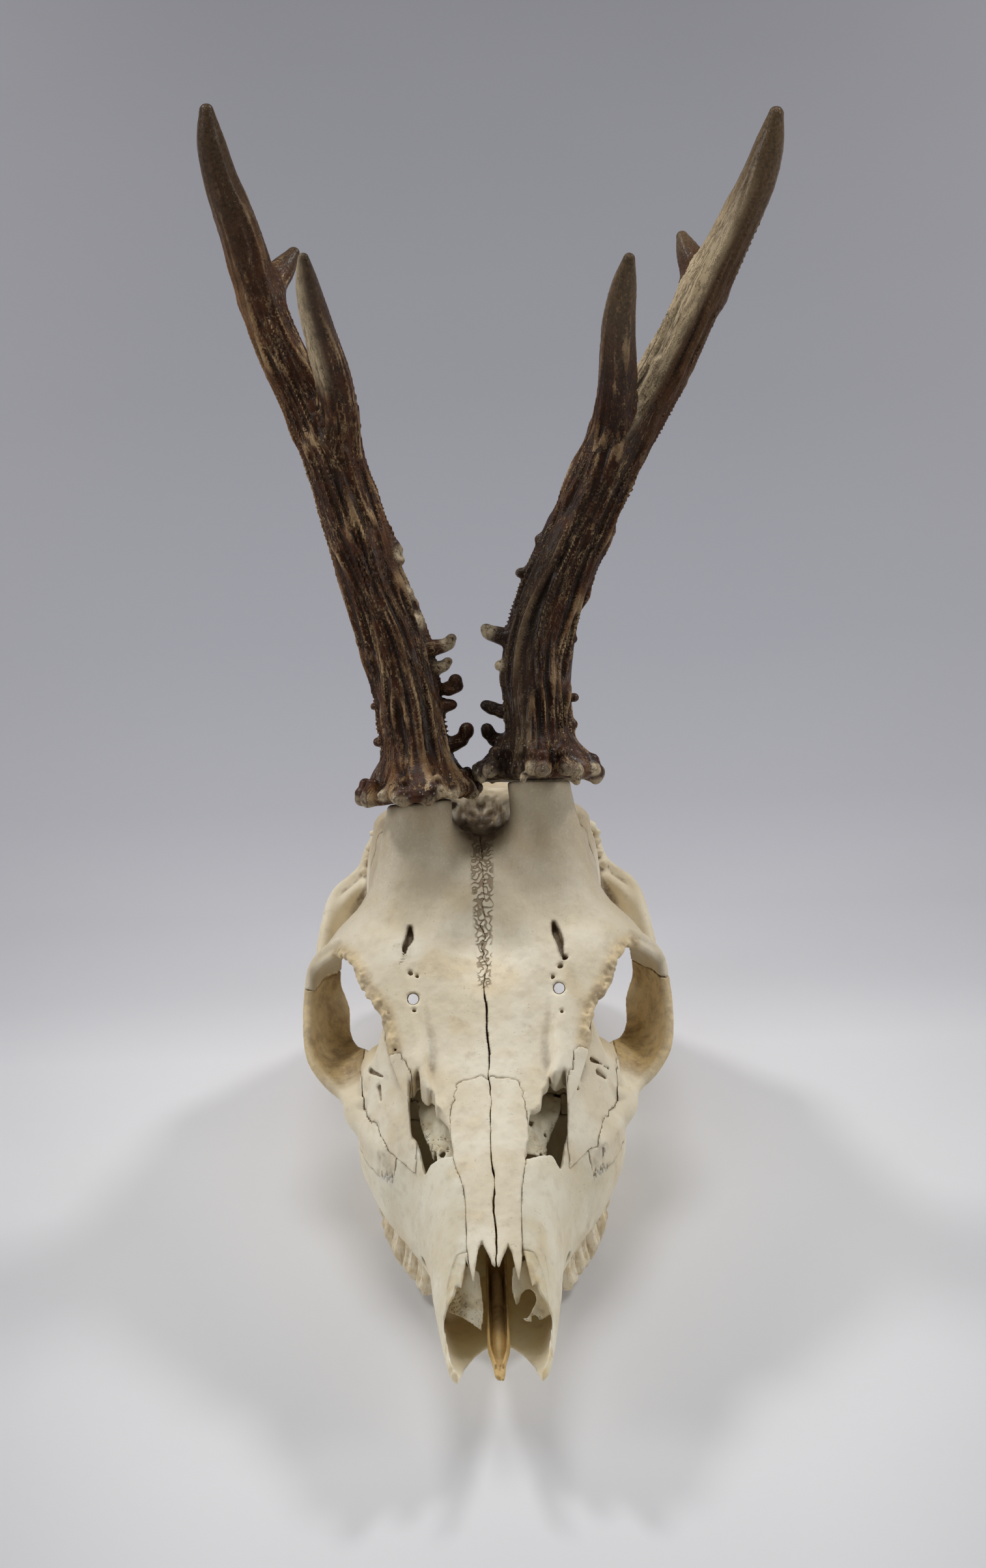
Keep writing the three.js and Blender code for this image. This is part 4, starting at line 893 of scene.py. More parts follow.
# ---------------------------------------------------------------- antlers
ANTLERS = {
    1: dict(
        beam=[(14.6, 51.6, 94.8, 9.4), (14.8, 58.5, 106.5, 8.6), (15.6, 67.5, 123, 8.1), (20.4, 75, 137, 7.5),
              (27.6, 82, 151, 7.3), (35, 88.6, 164, 7.4), (41.8, 93, 173, 6.3), (51.2, 99.8, 187, 5.8),
              (59.6, 105.8, 201.5, 5.6), (68, 110.2, 217, 5.1), (73.9, 112.1, 229, 4.5),
              (77, 113.1, 238.5, 3.5), (78.7, 114, 245.6, 1.9)],
        front=[(33, 88, 163, 5.6), (35.8, 89.8, 174, 5.1), (37.3, 89.4, 184, 4.8), (37.6, 87, 194, 4.4),
               (38.2, 84, 206, 3.9),
               (39.6, 81.8, 216, 2.9), (40.8, 80, 223, 1.5)],
        rear=[(59.5, 106, 202, 4.4), (58.3, 112, 205.2, 4), (56.6, 118.5, 207.8, 3),
              (55.4, 122.6, 209.8, 1.6)],
        pearls=[(14.5, 76.9, 141, 1.6), (12.1, 76.6, 140.4, 1.5), (17.2, 80.4, 147.7, 1.5),
                (7.4, 69.4, 126.4, 2.6), (5.2, 69.8, 127, 2.3), (3.6, 70, 127.4, 1.9), (8.2, 66, 120, 1.9),
                (6.2, 66.2, 120, 1.6), (6.4, 61, 109.8, 2.1), (3.8, 61.4, 110.6, 1.9),
                (2.2, 61.6, 111.4, 1.5), (2.8, 70.2, 128.6, 1.3), (6.4, 58.6, 102.6, 2.2),
                (4.2, 58.6, 103.2, 2), (2.6, 58.7, 105, 1.8), (2.2, 58.8, 106.4, 1.5), (24.2, 63, 112, 1.3),
                (23.6, 60, 106, 1.4),
                (24.4, 69.6, 125, 1.2)],
        pale=[(3.4, 70, 127.4), (6.0, 66.2, 120)], bare=("beam", 170, 240), shade=0.6),
    -1: dict(
        beam=[(-15.1, 51, 90.4, 9.4), (-16.4, 59, 106, 8.4), (-19.3, 68.3, 124, 7.8),
              (-24.5, 75.7, 138.6, 7.3), (-29.5, 83.4, 154, 7.4), (-34.3, 90.3, 168, 7),
              (-39.6, 96.3, 180, 6.1), (-47, 103.4, 195.5, 5.6), (-51.4, 108, 208.5, 5.4),
              (-54.9, 111, 221.4, 5), (-58.6, 112.5, 233.5, 4.4),
              (-60.9, 113.8, 245, 3.3), (-61.4, 114.6, 251.4, 1.8)],
        front=[(-32, 89, 168, 5.4), (-31.3, 89.9, 179, 4.9), (-32.4, 88.5, 189, 4.6), (-34.3, 85.9, 199, 4.2),
               (-37, 82.6, 213, 3.5),
               (-38, 80.2, 221.5, 2.5), (-38.3, 78.9, 226.6, 1.4)],
        rear=[(-50, 106.6, 203.6, 4.6), (-47.6, 111.8, 205.4, 4.1), (-44.6, 116.4, 207.6, 3.3),
              (-42, 120.2, 210, 1.7)],
        pearls=[(-19.8, 80.3, 147.7, 1.9), (-18.5, 79.6, 146.4, 1.5), (-18.4, 78.4, 144.2, 1.7),
                (-16.7, 74.8, 136.9, 1.9), (-14.6, 71.7, 130.6, 1.5), (-10.6, 68.2, 124.6, 2.4),
                (-8.3, 68.6, 124.8, 2), (-6.6, 68.8, 125.3, 1.7), (-12, 66.4, 119.6, 2.1),
                (-9.4, 66.3, 120, 1.8), (-7.9, 66.3, 120.4, 1.5), (-7, 64, 115.2, 2.1), (-5, 64, 115.8, 1.8),
                (-8, 62, 111.5, 1.9), (-6.3, 62, 111.7, 1.4), (-5.8, 68.9, 126.8, 1.3),
                (-6.9, 66.4, 121.6, 1.2), (-5.2, 64, 117.6, 1.7), (-6.4, 58.6, 102.4, 2.2),
                (-4.4, 58.6, 103.4, 2), (-3, 58.7, 105.4, 1.9), (-2.8, 58.8, 106.6, 1.7),
                (-28.4, 69.5, 126.5, 1.2), (-24.9, 58.2, 103.9, 1.4),
                (-25.6, 62, 112, 1.1)],
        pale=[(-6.6, 68.8, 125.3), (-7.9, 66.3, 120.4), (-16.7, 74.8, 136.9), (-14.6, 71.7, 130.6),
              (-18.5, 79.2, 145.4)], bare=("front", 184, 300), shade=0.35),
}
# How far out the pearls of the collar stand, and how many.
CORONET_RADIUS, CORONET_PEARLS = 14.0, 26
# Height above the foot and radius of the collar's skirt.
COLLAR_PROFILE = [(-0.6, 9.5), (0.4, 12.6), (1.6, 14.2), (3.4, 13.8), (5, 12.4), (7.5, 10.8), (10.5, 9.4),
                  (13, 7.6), (17, 4)]
# Depth of the furrows in mm at each share of a rod's length.
RELIEF = {
    "beam": [(0, 1.7), (0.35, 1.6), (0.6, 1.1), (0.8, 0.5), (1, 0.1)],
    "front": [(0, 0.9), (0.4, 0.6), (0.75, 0.25), (1, 0.05)],
    "rear": [(0, 0.5), (0.6, 0.3), (1, 0.05)],
}
ROD_SEEDS = {1: (100, 120, 140), -1: (160, 180, 200)}
PEARL_SEED = {1: 31, -1: 47}
FORK_BLEND = 3.2


class Rod:
    """Swept rod whose surface carries furrows that follow its length."""

    def __init__(self, field, stations, seed):
        self.path = smooth_path(stations, 1.3 * COARSE)
        self.seed = seed
        p, r = self.path[:, :3], self.path[:, 3]
        self.run = np.concatenate([[0], np.cumsum(np.linalg.norm(np.diff(p, axis=0), axis=1))])
        tangent = np.gradient(p, axis=0)
        tangent /= np.linalg.norm(tangent, axis=1)[:, None]
        side = np.cross(tangent[0], (0, 0, 1))
        shape = field.value.shape
        self.far = np.full(shape, 99, np.float32)
        self.along, self.turn = np.zeros(shape, np.float32), np.zeros(shape, np.float32)
        for n in range(len(p) - 1):
            side = side - tangent[n] * (side @ tangent[n])
            side /= np.linalg.norm(side)
            other = np.cross(tangent[n], side)
            m = max(r[n], r[n + 1]) + 3
            cut, x, y, z = field.window(np.minimum(p[n], p[n + 1]) - m, np.maximum(p[n], p[n + 1]) + m)
            e = p[n + 1] - p[n]
            wx, wy, wz = x - p[n, 0], y - p[n, 1], z - p[n, 2]
            t = np.clip((wx * e[0] + wy * e[1] + wz * e[2]) / (e @ e), 0, 1)
            wx, wy, wz = wx - t * e[0], wy - t * e[1], wz - t * e[2]
            far = np.sqrt(wx * wx + wy * wy + wz * wz)
            closer = far < self.far[cut]
            u, v = (wx * a[0] + wy * a[1] + wz * a[2] for a in (side, other))
            along = self.run[n] + t * (self.run[n + 1] - self.run[n])
            for grid, new in ((self.far, far), (self.along, along), (self.turn, np.arctan2(v, u))):
                grid[cut] = np.where(closer, new, grid[cut])

    def furrows(self, along, turn):
        """Height of the ridges from 0 to 1, and broad swellings from 0 to 1."""
        drift = 0.35 * (noise(along / 16, np.cos(turn), np.sin(turn), self.seed + 1) - 0.5)
        a = turn + drift
        fine = noise(np.cos(a) * 4.2, np.sin(a) * 4.2, along / 22, self.seed + 2)
        finer = noise(np.cos(a) * 6, np.sin(a) * 6, along / 15, self.seed + 3)
        ridge = 1 - np.abs(2 * fine - 1)
        small = 1 - np.abs(2 * finer - 1)
        broad = noise(np.cos(a) * 1.6, np.sin(a) * 1.6, along / 34, self.seed + 4)
        return ramp(ridge, 0.62, 1.0) * 0.65 + ramp(small, 0.62, 1.0) * 0.4, broad

    def distance(self, relief):
        """Distance to the furrowed rod, near it."""
        near = self.far < 25
        out = self.far.copy()
        along, turn = self.along[near], self.turn[near]
        radius = np.interp(along, self.run, self.path[:, 3])
        ridge, broad = self.furrows(along, turn)
        depth = np.interp(along / self.run[-1], *zip(*relief))
        out[near] = self.far[near] - (radius + depth * (ridge - 0.42) + depth * 1.3 * (broad - 0.5))
        return out


def add_collar(f, side, foot, axes):
    """A flaring skirt round the foot, hollowed below."""
    cut, x, y, z = f.window(foot - 19, foot + 22)
    h, u, v = ((x - foot[0]) * a[0] + (y - foot[1]) * a[1] + (z - foot[2]) * a[2] for a in axes)
    out, turn = np.sqrt(u * u + v * v), np.arctan2(v, u)
    lobes = noise(np.cos(turn) * 3.2, np.sin(turn) * 3.2, h / 9, 211 + side) - 0.5
    small = noise(np.cos(turn) * 7.5, np.sin(turn) * 7.5, h / 6, 215 + side) - 0.5
    edge = np.interp(h, *zip(*COLLAR_PROFILE)) + (lobes * 6.2 + small * 4.8) * ramp(h, 12, 3)
    skirt = np.maximum((out - edge) * 0.75, np.maximum(0.35 - h, h - 17))
    f.mix(cut, skirt.astype(np.float32), 1.2)
    below = np.where(out < 30, 0.35 - h - (0.5 + lobes * 3 + small * 3) * ramp(out, 9.5, 12.5), -9)
    f.value[cut] = smooth_max(f.value[cut], below, 0.8).astype(np.float32)


def add_pearls(f, side, foot, axes):
    """A fringe of pearls round the collar. Gives the tip of each."""
    rng = np.random.default_rng(PEARL_SEED[side])
    axis, across, third = axes
    tips = []
    for n in range(CORONET_PEARLS):
        angle = (n + rng.uniform(-0.8, 0.8)) / CORONET_PEARLS * math.tau
        outward = across * math.cos(angle) + third * math.sin(angle)
        high_up = rng.uniform(0.9, 3.4)
        size = 0.9 + 1.6 * rng.random() ** 1.6
        spot = foot + axis * high_up + outward * (CORONET_RADIUS + rng.uniform(-0.5, 0.5))
        tip = spot - axis * rng.uniform(0.2, 1.0) + outward * rng.uniform(0.4, 1.1)
        f.tube([(*spot, size), (*tip, size * 0.8)], 1.3)
        tips.append(tip)
        if rng.random() < 0.5:
            f.blob(spot + axis * rng.uniform(2, 4) - outward * rng.uniform(0.3, 1.2), [size * 0.75] * 3, 0.7)
    return tips


def antler(side):
    """Skin of one antler, and the marks on it."""
    spec = ANTLERS[side]
    points = np.array([p for part in RELIEF for p in spec[part]])
    foot, beyond = (np.array(p, float) for p in FOOT[side])
    low = np.minimum(points[:, :3].min(0) - (11, 8, 3), foot - (16.5, 16.5, 9))
    high = points[:, :3].max(0) + (6, 5, 4)
    if side > 0:
        low[0] = min(low[0], -0.4)
    else:
        high[0] = max(high[0], 0.8)
    f = Field(low, high, ANTLER_STEP * COARSE)
    rods = [Rod(f, spec[part], seed) for part, seed in zip(RELIEF, ROD_SEEDS[side])]
    beam, *tines = (rod.distance(relief) for rod, relief in zip(rods, RELIEF.values()))
    f.value = beam
    for tine in tines:
        f.value = smooth_min(f.value, tine, FORK_BLEND)
    axis = (beyond - foot) / np.linalg.norm(beyond - foot)
    across = np.cross(axis, (0, 0, 1))
    across /= np.linalg.norm(across)
    axes = (axis, across, np.cross(axis, across))
    add_collar(f, side, foot, axes)
    tips = add_pearls(f, side, foot, axes)
    for *centre, r in spec["pearls"]:
        f.blob(centre, (r, r, r * 0.85), 1.0)
    points, quads = main_parts(*surface(f), least=3000)
    points = relaxed(points, quads, 0.4)
    pale = [(tip - axis * 0.2, 1.0, 2.5) for tip in tips] + [(np.array(p), 1.6, 3.2) for p in spec["pale"]]
    return points, quads, antler_marks(side, f, rods, points, (points - foot) @ axis, pale)


def antler_marks(side, f, rods, points, height, pale):
    """Ridges and the flow along each rod, bare faces, painted shade in creases and on the inner side of the
    lower beam, the golden outer side with its painted highlight, and the pale tips of the pearls.
    """
    spec = ANTLERS[side]
    x, _, z = points.T
    choice = np.argmin([f.probe(r.far, points) - np.interp(f.probe(r.along, points), r.run, r.path[:, 3])
                        for r in rods], 0)
    ridge, share, *flow = np.zeros((5, len(points)), np.float32)
    flow = np.stack(flow)
    for n, rod in enumerate(rods):
        mine = choice == n
        index = tuple(np.clip(np.round((points[mine, q] - f.low[q]) / f.step).astype(int), 0, f.count[q] - 1)
                      for q in range(3))
        along, turn = rod.along[index], rod.turn[index]
        ridge[mine] = rod.furrows(along, turn)[0]
        flow[:, mine] = np.cos(turn) * 8, np.sin(turn) * 8, along / 7 + n * 9
        share[mine] = along / rod.run[-1] if n == 0 else 0.45 + 0.55 * along / rod.run[-1]
    centre = {part: np.interp(z, [p[2] for p in spec[part]], [p[0] for p in spec[part]])
              for part in ("beam", "front")}
    part, start, end = spec["bare"]
    bare = ramp(centre[part] - x, -0.6, 2.6) * ramp(z, start, start + 12) * (1 - ramp(z, end - 30, end))
    # Painted shade on the inner side of the lower beam, stronger on the left antler.
    inner_shade = ramp((centre["beam"] - x) * side, -3, 4) * (1 - ramp(z, 140, 165))
    # The outer side is painted golden: partly its own tone, partly a painted highlight.
    outer = ramp((x - np.interp(z, [90, 250], [15 * side, 65 * side])) * side, 0.5, 6)
    # Painted shade in the creases, from how sunk each point lies.
    reach = max(1, int(round(1.3 / f.step)))
    crease_shade = np.clip(-f.probe(blurred(f.value, reach), points) / 0.35, -1, 1)
    return {
        "ridge": ridge, "share": share, "flow_x": flow[0], "flow_y": flow[1], "flow_z": flow[2],
        "collar": 1 - ramp(height, 6, 16),
        "pale": np.max([1 - ramp(np.linalg.norm(points - spot, axis=1), *reach) for spot, *reach in pale], 0),
        "bare": bare * (choice == list(centre).index(part)),
        "crease_shade": np.maximum(crease_shade, spec["shade"] * inner_shade),
        "golden_and_highlight": outer * ramp(z, 105, 150),
    }


# ---------------------------------------------------------------- materials
class Nodes:
    """Short names for building a procedural material."""

    def __init__(self, name):
        self.material = bpy.data.materials.new(name)
        self.material.use_nodes = True
        self.tree = self.material.node_tree
        self.tree.nodes.clear()
        self.coords = self.new("ShaderNodeTexCoord").outputs["Object"]
        self.shader = self.new("ShaderNodeBsdfPrincipled")
        out = self.new("ShaderNodeOutputMaterial")
        self.link(self.shader.outputs[0], out.inputs[0])

    def new(self, kind):
        return self.tree.nodes.new(kind)

    def link(self, a, b):
        self.tree.links.new(a, b)

    def put(self, socket, value):
        if isinstance(value, bpy.types.NodeSocket):
            self.link(value, socket)
        else:
            socket.default_value = value

    def mark(self, name):
        node = self.new("ShaderNodeAttribute")
        node.attribute_name = name
        return node.outputs["Fac"]

    def noise(self, size, detail=3.0, rough=0.55, stretch=(1, 1, 1)):
        """Noise from 0 to 1 with features of about so many millimetres."""
        vector = self.coords
        if stretch != (1, 1, 1):
            scale = self.new("ShaderNodeMapping")
            scale.inputs["Scale"].default_value = stretch
            self.link(self.coords, scale.inputs["Vector"])
            vector = scale.outputs[0]
        node = self.new("ShaderNodeTexNoise")
        self.link(vector, node.inputs["Vector"])
        node.inputs["Scale"].default_value = 1000 / size
        node.inputs["Detail"].default_value = detail
        node.inputs["Roughness"].default_value = rough
        return node.outputs["Fac"]

    def cells(self, size):
        """Distance from scattered points, 0 at each point, in cells of so many millimetres."""
        node = self.new("ShaderNodeTexVoronoi")
        self.link(self.coords, node.inputs["Vector"])
        node.inputs["Scale"].default_value = 1000 / size
        return node.outputs["Distance"]

    def span(self, value, low, high, to_low=0.0, to_high=1.0):
        node = self.new("ShaderNodeMapRange")
        node.interpolation_type = "SMOOTHSTEP"
        self.put(node.inputs["Value"], value)
        for key, number in (("From Min", low), ("From Max", high), ("To Min", to_low), ("To Max", to_high)):
            node.inputs[key].default_value = number
        return node.outputs[0]

    def math(self, kind, a, b=0.0):
        node = self.new("ShaderNodeMath")
        node.operation = kind
        self.put(node.inputs[0], a)
        self.put(node.inputs[1], b)
        return node.outputs[0]

    def times(self, a, b):
        return self.math("MULTIPLY", a, b)

    def from_half(self, value):
        """How far a value is from one half, which makes thin lines of a noise."""
        return self.math("ABSOLUTE", self.math("SUBTRACT", value, 0.5))

    def cover(self, colour, share, strength, tint):
        """A colour with a tint laid over it, by share times strength."""
        return self.mix(self.times(share, strength), colour, tint)

    def mix(self, share, a, b):
        node = self.new("ShaderNodeMix")
        node.data_type = "RGBA"
        self.put(node.inputs["Factor"], share)
        for key, value in (("A", a), ("B", b)):
            socket = next(s for s in node.inputs if s.name == key and s.type == "RGBA")
            self.put(socket, value if isinstance(value, bpy.types.NodeSocket) else (*value, 1))
        return next(s for s in node.outputs if s.type == "RGBA")

    def bump(self, height, strength, distance, under=None):
        node = self.new("ShaderNodeBump")
        node.inputs["Strength"].default_value = strength
        node.inputs["Distance"].default_value = distance / 1000
        self.put(node.inputs["Height"], height)
        if under is not None:
            self.link(under, node.inputs["Normal"])
        return node.outputs[0]


IVORY, CREAM, GREY_BONE = (0.78, 0.68, 0.49), (0.88, 0.80, 0.63), (0.60, 0.51, 0.36)
# The third colour is a stain tone and also the painted shade of creases, grooves and hollows; the fourth is a
# grey tone that also paints shade on the upper forehead and round the pedicles.
YELLOW, AMBER, DIRT_AND_SHADE, ASH_AND_SHADE = (0.67, 0.47, 0.18), (0.36, 0.21, 0.06), (0.165, 0.105, 0.055), (0.46, 0.36, 0.225)
# The first colour here is painted shade for the creases.
SHADE_BROWN, PORE, COIL, CHALK = (0.27, 0.185, 0.10), (0.42, 0.31, 0.17), (0.25, 0.17, 0.085), (0.86, 0.82, 0.73)


def bone_material(name, base=IVORY, light=CREAM, dull=GREY_BONE, glow=0.08, depth=0.0012):
    """Dry bone: stains, pores, painted shade in the creases, grooves and hollows, and the coiled side
    branches of the forehead suture.
    """
    n = Nodes(name)
    broad, medium, fine = n.noise(14, 2), n.noise(3.2, 4, 0.6), n.noise(0.7, 3, 0.6)
    pores = n.span(n.math("ADD", n.cells(1.05), n.times(n.noise(5, 2), 0.7)), 0.36, 0.44, 1.0, 0.0)
    crease_shade = n.times(n.span(n.mark("crease_shade"), 0.08, 0.75), n.span(medium, 0.25, 0.6, 0.55, 1.0))
    coil = n.from_half(n.noise(1.3, 0.0, 0.4, (1, 0.85, 0.85)))
    coil = n.times(n.span(coil, 0.03, 0.13, 1.0, 0.0), n.mark("worm"))
    colour = n.mix(n.span(broad, 0.35, 0.68), base, light)
    for share, strength, tint in (
        (n.span(medium, 0.52, 0.78), 0.45, dull),
        (n.mark("warm"), 0.95, n.mix(n.span(medium, 0.4, 0.7), YELLOW, AMBER)),
        # Grey tone, which also paints shade on the upper forehead and round the pedicles.
        (n.mark("ash_and_shade"), n.span(fine, 0.25, 0.6, 0.6, 0.95), ASH_AND_SHADE),
        (pores, 0.35, PORE),
        # Painted shade in the creases.
        (crease_shade, 0.85, n.mix(n.span(fine, 0.4, 0.6), DIRT_AND_SHADE, SHADE_BROWN)),
        (coil, 0.85, COIL),
        # Stains, which also carry painted shade in the grooves, the orbit band and the hollow between the
        # pedicles.
        (n.mark("dirt_and_shade"), n.span(medium, 0.2, 0.6, 0.5, 1.0), DIRT_AND_SHADE),
        (n.span(fine, 0.5, 0.75), 0.18, CHALK),
    ):
        colour = n.cover(colour, share, strength, tint)
    n.put(n.shader.inputs["Base Color"], colour)
    n.put(n.shader.inputs["Roughness"], n.span(medium, 0.2, 0.8, 0.42, 0.62))
    n.shader.inputs["Specular IOR Level"].default_value = 0.4
    n.shader.inputs["Subsurface Weight"].default_value = glow
    n.shader.inputs["Subsurface Radius"].default_value = (depth, depth * 0.85, depth * 0.62)
    n.shader.inputs["Subsurface Scale"].default_value = 1.0
    grain = None
    for height, strength, deep in (
        (n.noise(0.55, 3, 0.65), 0.35, 0.10), (medium, 0.35, 0.35),
        (n.noise(1.7, 3, 0.6, (1, 0.3, 0.3)), 0.4, 0.3),
        (n.span(pores, 0, 1, 1.0, 0.0), 0.5, 0.14), (n.span(coil, 0, 1, 1.0, 0.0), 1.0, 0.5),
    ):
        grain = n.bump(height, strength, deep, grain)
    n.put(n.shader.inputs["Normal"], grain)
    return n.material


def tooth_material():
    n = Nodes("tooth_enamel")
    medium = n.noise(2.4, 4, 0.6)
    lines = n.noise(0.8, 3, 0.6, (1, 1, 0.18))
    colour = n.mix(n.span(medium, 0.35, 0.7), (0.84, 0.74, 0.54), (0.66, 0.52, 0.30))
    colour = n.cover(colour, n.span(lines, 0.48, 0.68), 0.4, (0.34, 0.20, 0.085))
    # Painted shade in the creases of the crowns.
    colour = n.cover(colour, n.span(n.mark("crease_shade"), 0.05, 0.6), 0.9, (0.10, 0.058, 0.028))
    colour = n.cover(colour, n.mark("dirt_and_shade"), 0.85, (0.16, 0.09, 0.04))
    n.put(n.shader.inputs["Base Color"], colour)
    n.put(n.shader.inputs["Roughness"], n.span(medium, 0.2, 0.8, 0.22, 0.42))
    n.put(n.shader.inputs["Normal"], n.bump(lines, 0.4, 0.12))
    return n.material


def antler_material(name, furrow, ridge_low, ridge_high, golden_and_highlight, tip):
    """Dark furrows between lighter ridges and streaks that follow the rods, worn pale at tips and pearls,
    painted highlight and shade.
    """
    n = Nodes(name)
    medium, fine, grain = n.noise(4.0, 3, 0.6), n.noise(0.9, 3, 0.6), n.noise(0.35, 2, 0.6)
    flow = n.new("ShaderNodeCombineXYZ")
    for axis in "xyz":
        n.link(n.mark("flow_" + axis), flow.inputs[axis.upper()])
    streak = n.new("ShaderNodeTexNoise")
    n.link(flow.outputs[0], streak.inputs["Vector"])
    streak.inputs["Scale"].default_value = 1.05
    streak.inputs["Detail"].default_value = 3.0
    streak = n.from_half(streak.outputs["Fac"])
    thin = n.times(n.span(streak, 0.005, 0.05, 1.0, 0.0), n.span(n.mark("share"), 0.55, 0.9, 1.0, 0.15))
    ridge = n.math("ADD", n.span(n.mark("ridge"), 0.54, 1.0), n.times(thin, 0.65))
    low_tone = n.mix(n.span(medium, 0.35, 0.7), furrow, tuple(c * 2.6 for c in furrow))
    high_tone = n.mix(n.span(n.noise(9, 2), 0.35, 0.65), ridge_low, ridge_high)
    worn = n.span(n.math("ADD", n.times(medium, 0.5), n.times(streak, 1.5)), 0.2, 0.42, 0.45, 0.95)
    specks = n.times(n.span(n.cells(1.5), 0.10, 0.2, 1.0, 0.0), n.span(n.mark("collar"), 0.2, 0.9, 0.15, 0.8))
    colour = n.mix(ridge, low_tone, high_tone)
    for share, strength, tint in (
        # Golden outer side, partly a painted highlight.
        (n.mark("golden_and_highlight"), n.span(medium, 0.3, 0.65, 0.45, 0.9), golden_and_highlight),
        (n.span(n.mark("share"), 0.62, 1.0), 0.85,
         n.mix(n.span(fine, 0.3, 0.7), tip, tuple(c * 2 for c in tip))),
        (n.mark("bare"), worn, (0.60, 0.47, 0.29)),
        # Painted shade in the creases and on the inner side of the lower beam.
        (n.span(n.mark("crease_shade"), 0.1, 0.8), 0.8, (0.028, 0.018, 0.012)),
        (n.times(n.mark("pale"), n.span(fine, 0.25, 0.55)), 0.9, (0.60, 0.48, 0.31)),
        (specks, 0.6, (0.58, 0.50, 0.38)),
    ):
        colour = n.cover(colour, share, strength, tint)
    n.put(n.shader.inputs["Base Color"], colour)
    n.put(n.shader.inputs["Roughness"], n.span(n.mark("share"), 0.6, 1.0, 0.4, 0.32))
    n.shader.inputs["Specular IOR Level"].default_value = 0.24
    bump = n.bump(thin, 0.8, 0.45, n.bump(fine, 0.4, 0.25, n.bump(grain, 0.3, 0.10)))
    n.put(n.shader.inputs["Normal"], bump)
    return n.material


# Furrow, lower and higher ridges, the outer side (golden tone with a painted highlight), and the tip.
ANTLER_TONES = {
    -1: ((0.034, 0.011, 0.004), (0.19, 0.085, 0.028), (0.52, 0.35, 0.18), (0.30, 0.14, 0.042),
         (0.055, 0.034, 0.018)),
    1: ((0.026, 0.009, 0.004), (0.15, 0.065, 0.022), (0.46, 0.31, 0.16), (0.10, 0.044, 0.016),
        (0.095, 0.062, 0.032)),
}
BONE = bone_material("skull_bone")
THIN = bone_material("thin_bone", (0.84, 0.72, 0.48), (0.90, 0.80, 0.58), (0.66, 0.53, 0.32), 0.25, 0.002)
NOSE = bone_material("nose_bone", glow=0.4, depth=0.0035)
STAINED = bone_material("stained_bone", (0.52, 0.33, 0.105), (0.68, 0.47, 0.19), (0.30, 0.185, 0.07))
ENAMEL = tooth_material()


# ---------------------------------------------------------------- marks that the materials read
def near_path(points, path):
    """Distance from each point to a line through a few spots."""
    path = np.array(path, float)
    best = np.full(len(points), 1e9)
    for a, b in zip(path[:-1], path[1:]):
        e = b - a
        t = np.clip(((points - a) @ e) / (e @ e), 0, 1)
        best = np.minimum(best, np.linalg.norm(points - a - t[:, None] * e, axis=1))
    return best


# Hollow lines and holes of the forehead: grooves that run to the supraorbital openings, squiggles and pits.
GROOVES = {
    -1: [(-18.4, 21.8, 71.3), (-18.7, 18.1, 70.4), (-19.8, 15.8, 69), (-20.1, 13.2, 67.8),
         (-20.8, 11.5, 66.8)],
    1: [(17, 21.6, 71.2), (17.7, 18.1, 70.8), (18.4, 15.7, 69.4), (18.6, 13.3, 68), (19.3, 10.6, 66.4)],
}
GROOVE_WIDTHS = (0.75, 1.15, 0.95, 0.55, 0.6)
SQUIGGLES = {
    -1: [(-22.6, -8, 53.9), (-21.5, -8.8, 51.9), (-20.3, -13.9, 49.6)],
    1: [(21.8, -8, 54.4), (20.5, -9.1, 52.2), (19.2, -13.1, 50.6)],
}
PITS = {
    -1: [(-18.6, 8.7, 65.5, 0.75), (-17, 8.1, 65.6, 0.6), (-17.9, -0.9, 60.6, 0.55), (-17, 34.4, 79.6, 0.6),
         (-22.9, 35.2, 77.6, 0.5),
         (-14.2, 31.6, 74.6, 0.5)],
    1: [(18.2, 9.2, 65.9, 0.8), (19.7, 11.3, 66.8, 0.65), (16.3, 6.9, 64.2, 0.55), (18.1, -2.4, 59.7, 0.5),
        (29.9, 73.5, 54.1, 0.6)],
}
# Each runs straight through to the open space behind the orbit.
FORAMINA = {-1: ((-18.03, -2, 64.7), (-19.5, 84.1, 14)), 1: ((17.65, -0.6, 65.5), (18.6, 85.6, 14.9))}
POCKETS = {
    -1: [[(-28.9, -2.7, 45.1), (-25.8, -7.7, 46.3)], [(-27, -8.7, 43.9), (-26.6, -11.7, 42.2)]],
    1: [[(24.6, -6.8, 48.5), (28.7, -4.3, 44.2)], [(26.1, -8, 45.7), (28, -7.1, 43.5)]],
}
LEDGE = [(36.6, 23.4, 63.4), (33.7, 17, 66), (30, 7, 63), (25.5, 0, 59.7), (23.7, -8.5, 55)]
# The hollow between the pedicles that takes painted shade: its centre, and its size along each axis as a
# multiple.
HOLLOW, HOLLOW_STRETCH = np.array((0, 57, 82)), np.array((1.1, 1.8, 1.3))
TABLE_GAP = 0.03


def roughen_ledge(f, side):
    """Breaks up the rim of the brow above the orbit into a jagged, pitted border."""
    cut, x, y, z = f.window((21, -12, 50), (39, 26, 69))
    spots = np.stack([v.ravel() for v in np.broadcast_arrays(x, y, z)], 1)
    near = near_path(spots, LEDGE).reshape(np.broadcast(x, y, z).shape)
    knobs = wave(x * side / 1.5, y / 1.5, z / 4, 81, 1.2) + wave(x * side / 0.8, y / 0.8, z / 2, 82, 0.7)
    f.value[cut] += ((knobs + 0.12) * (1 - ramp(near, 0.5, 2.6))).astype(np.float32)


def flip(path, side):
    return [(p[0] * side, *p[1:]) for p in path]


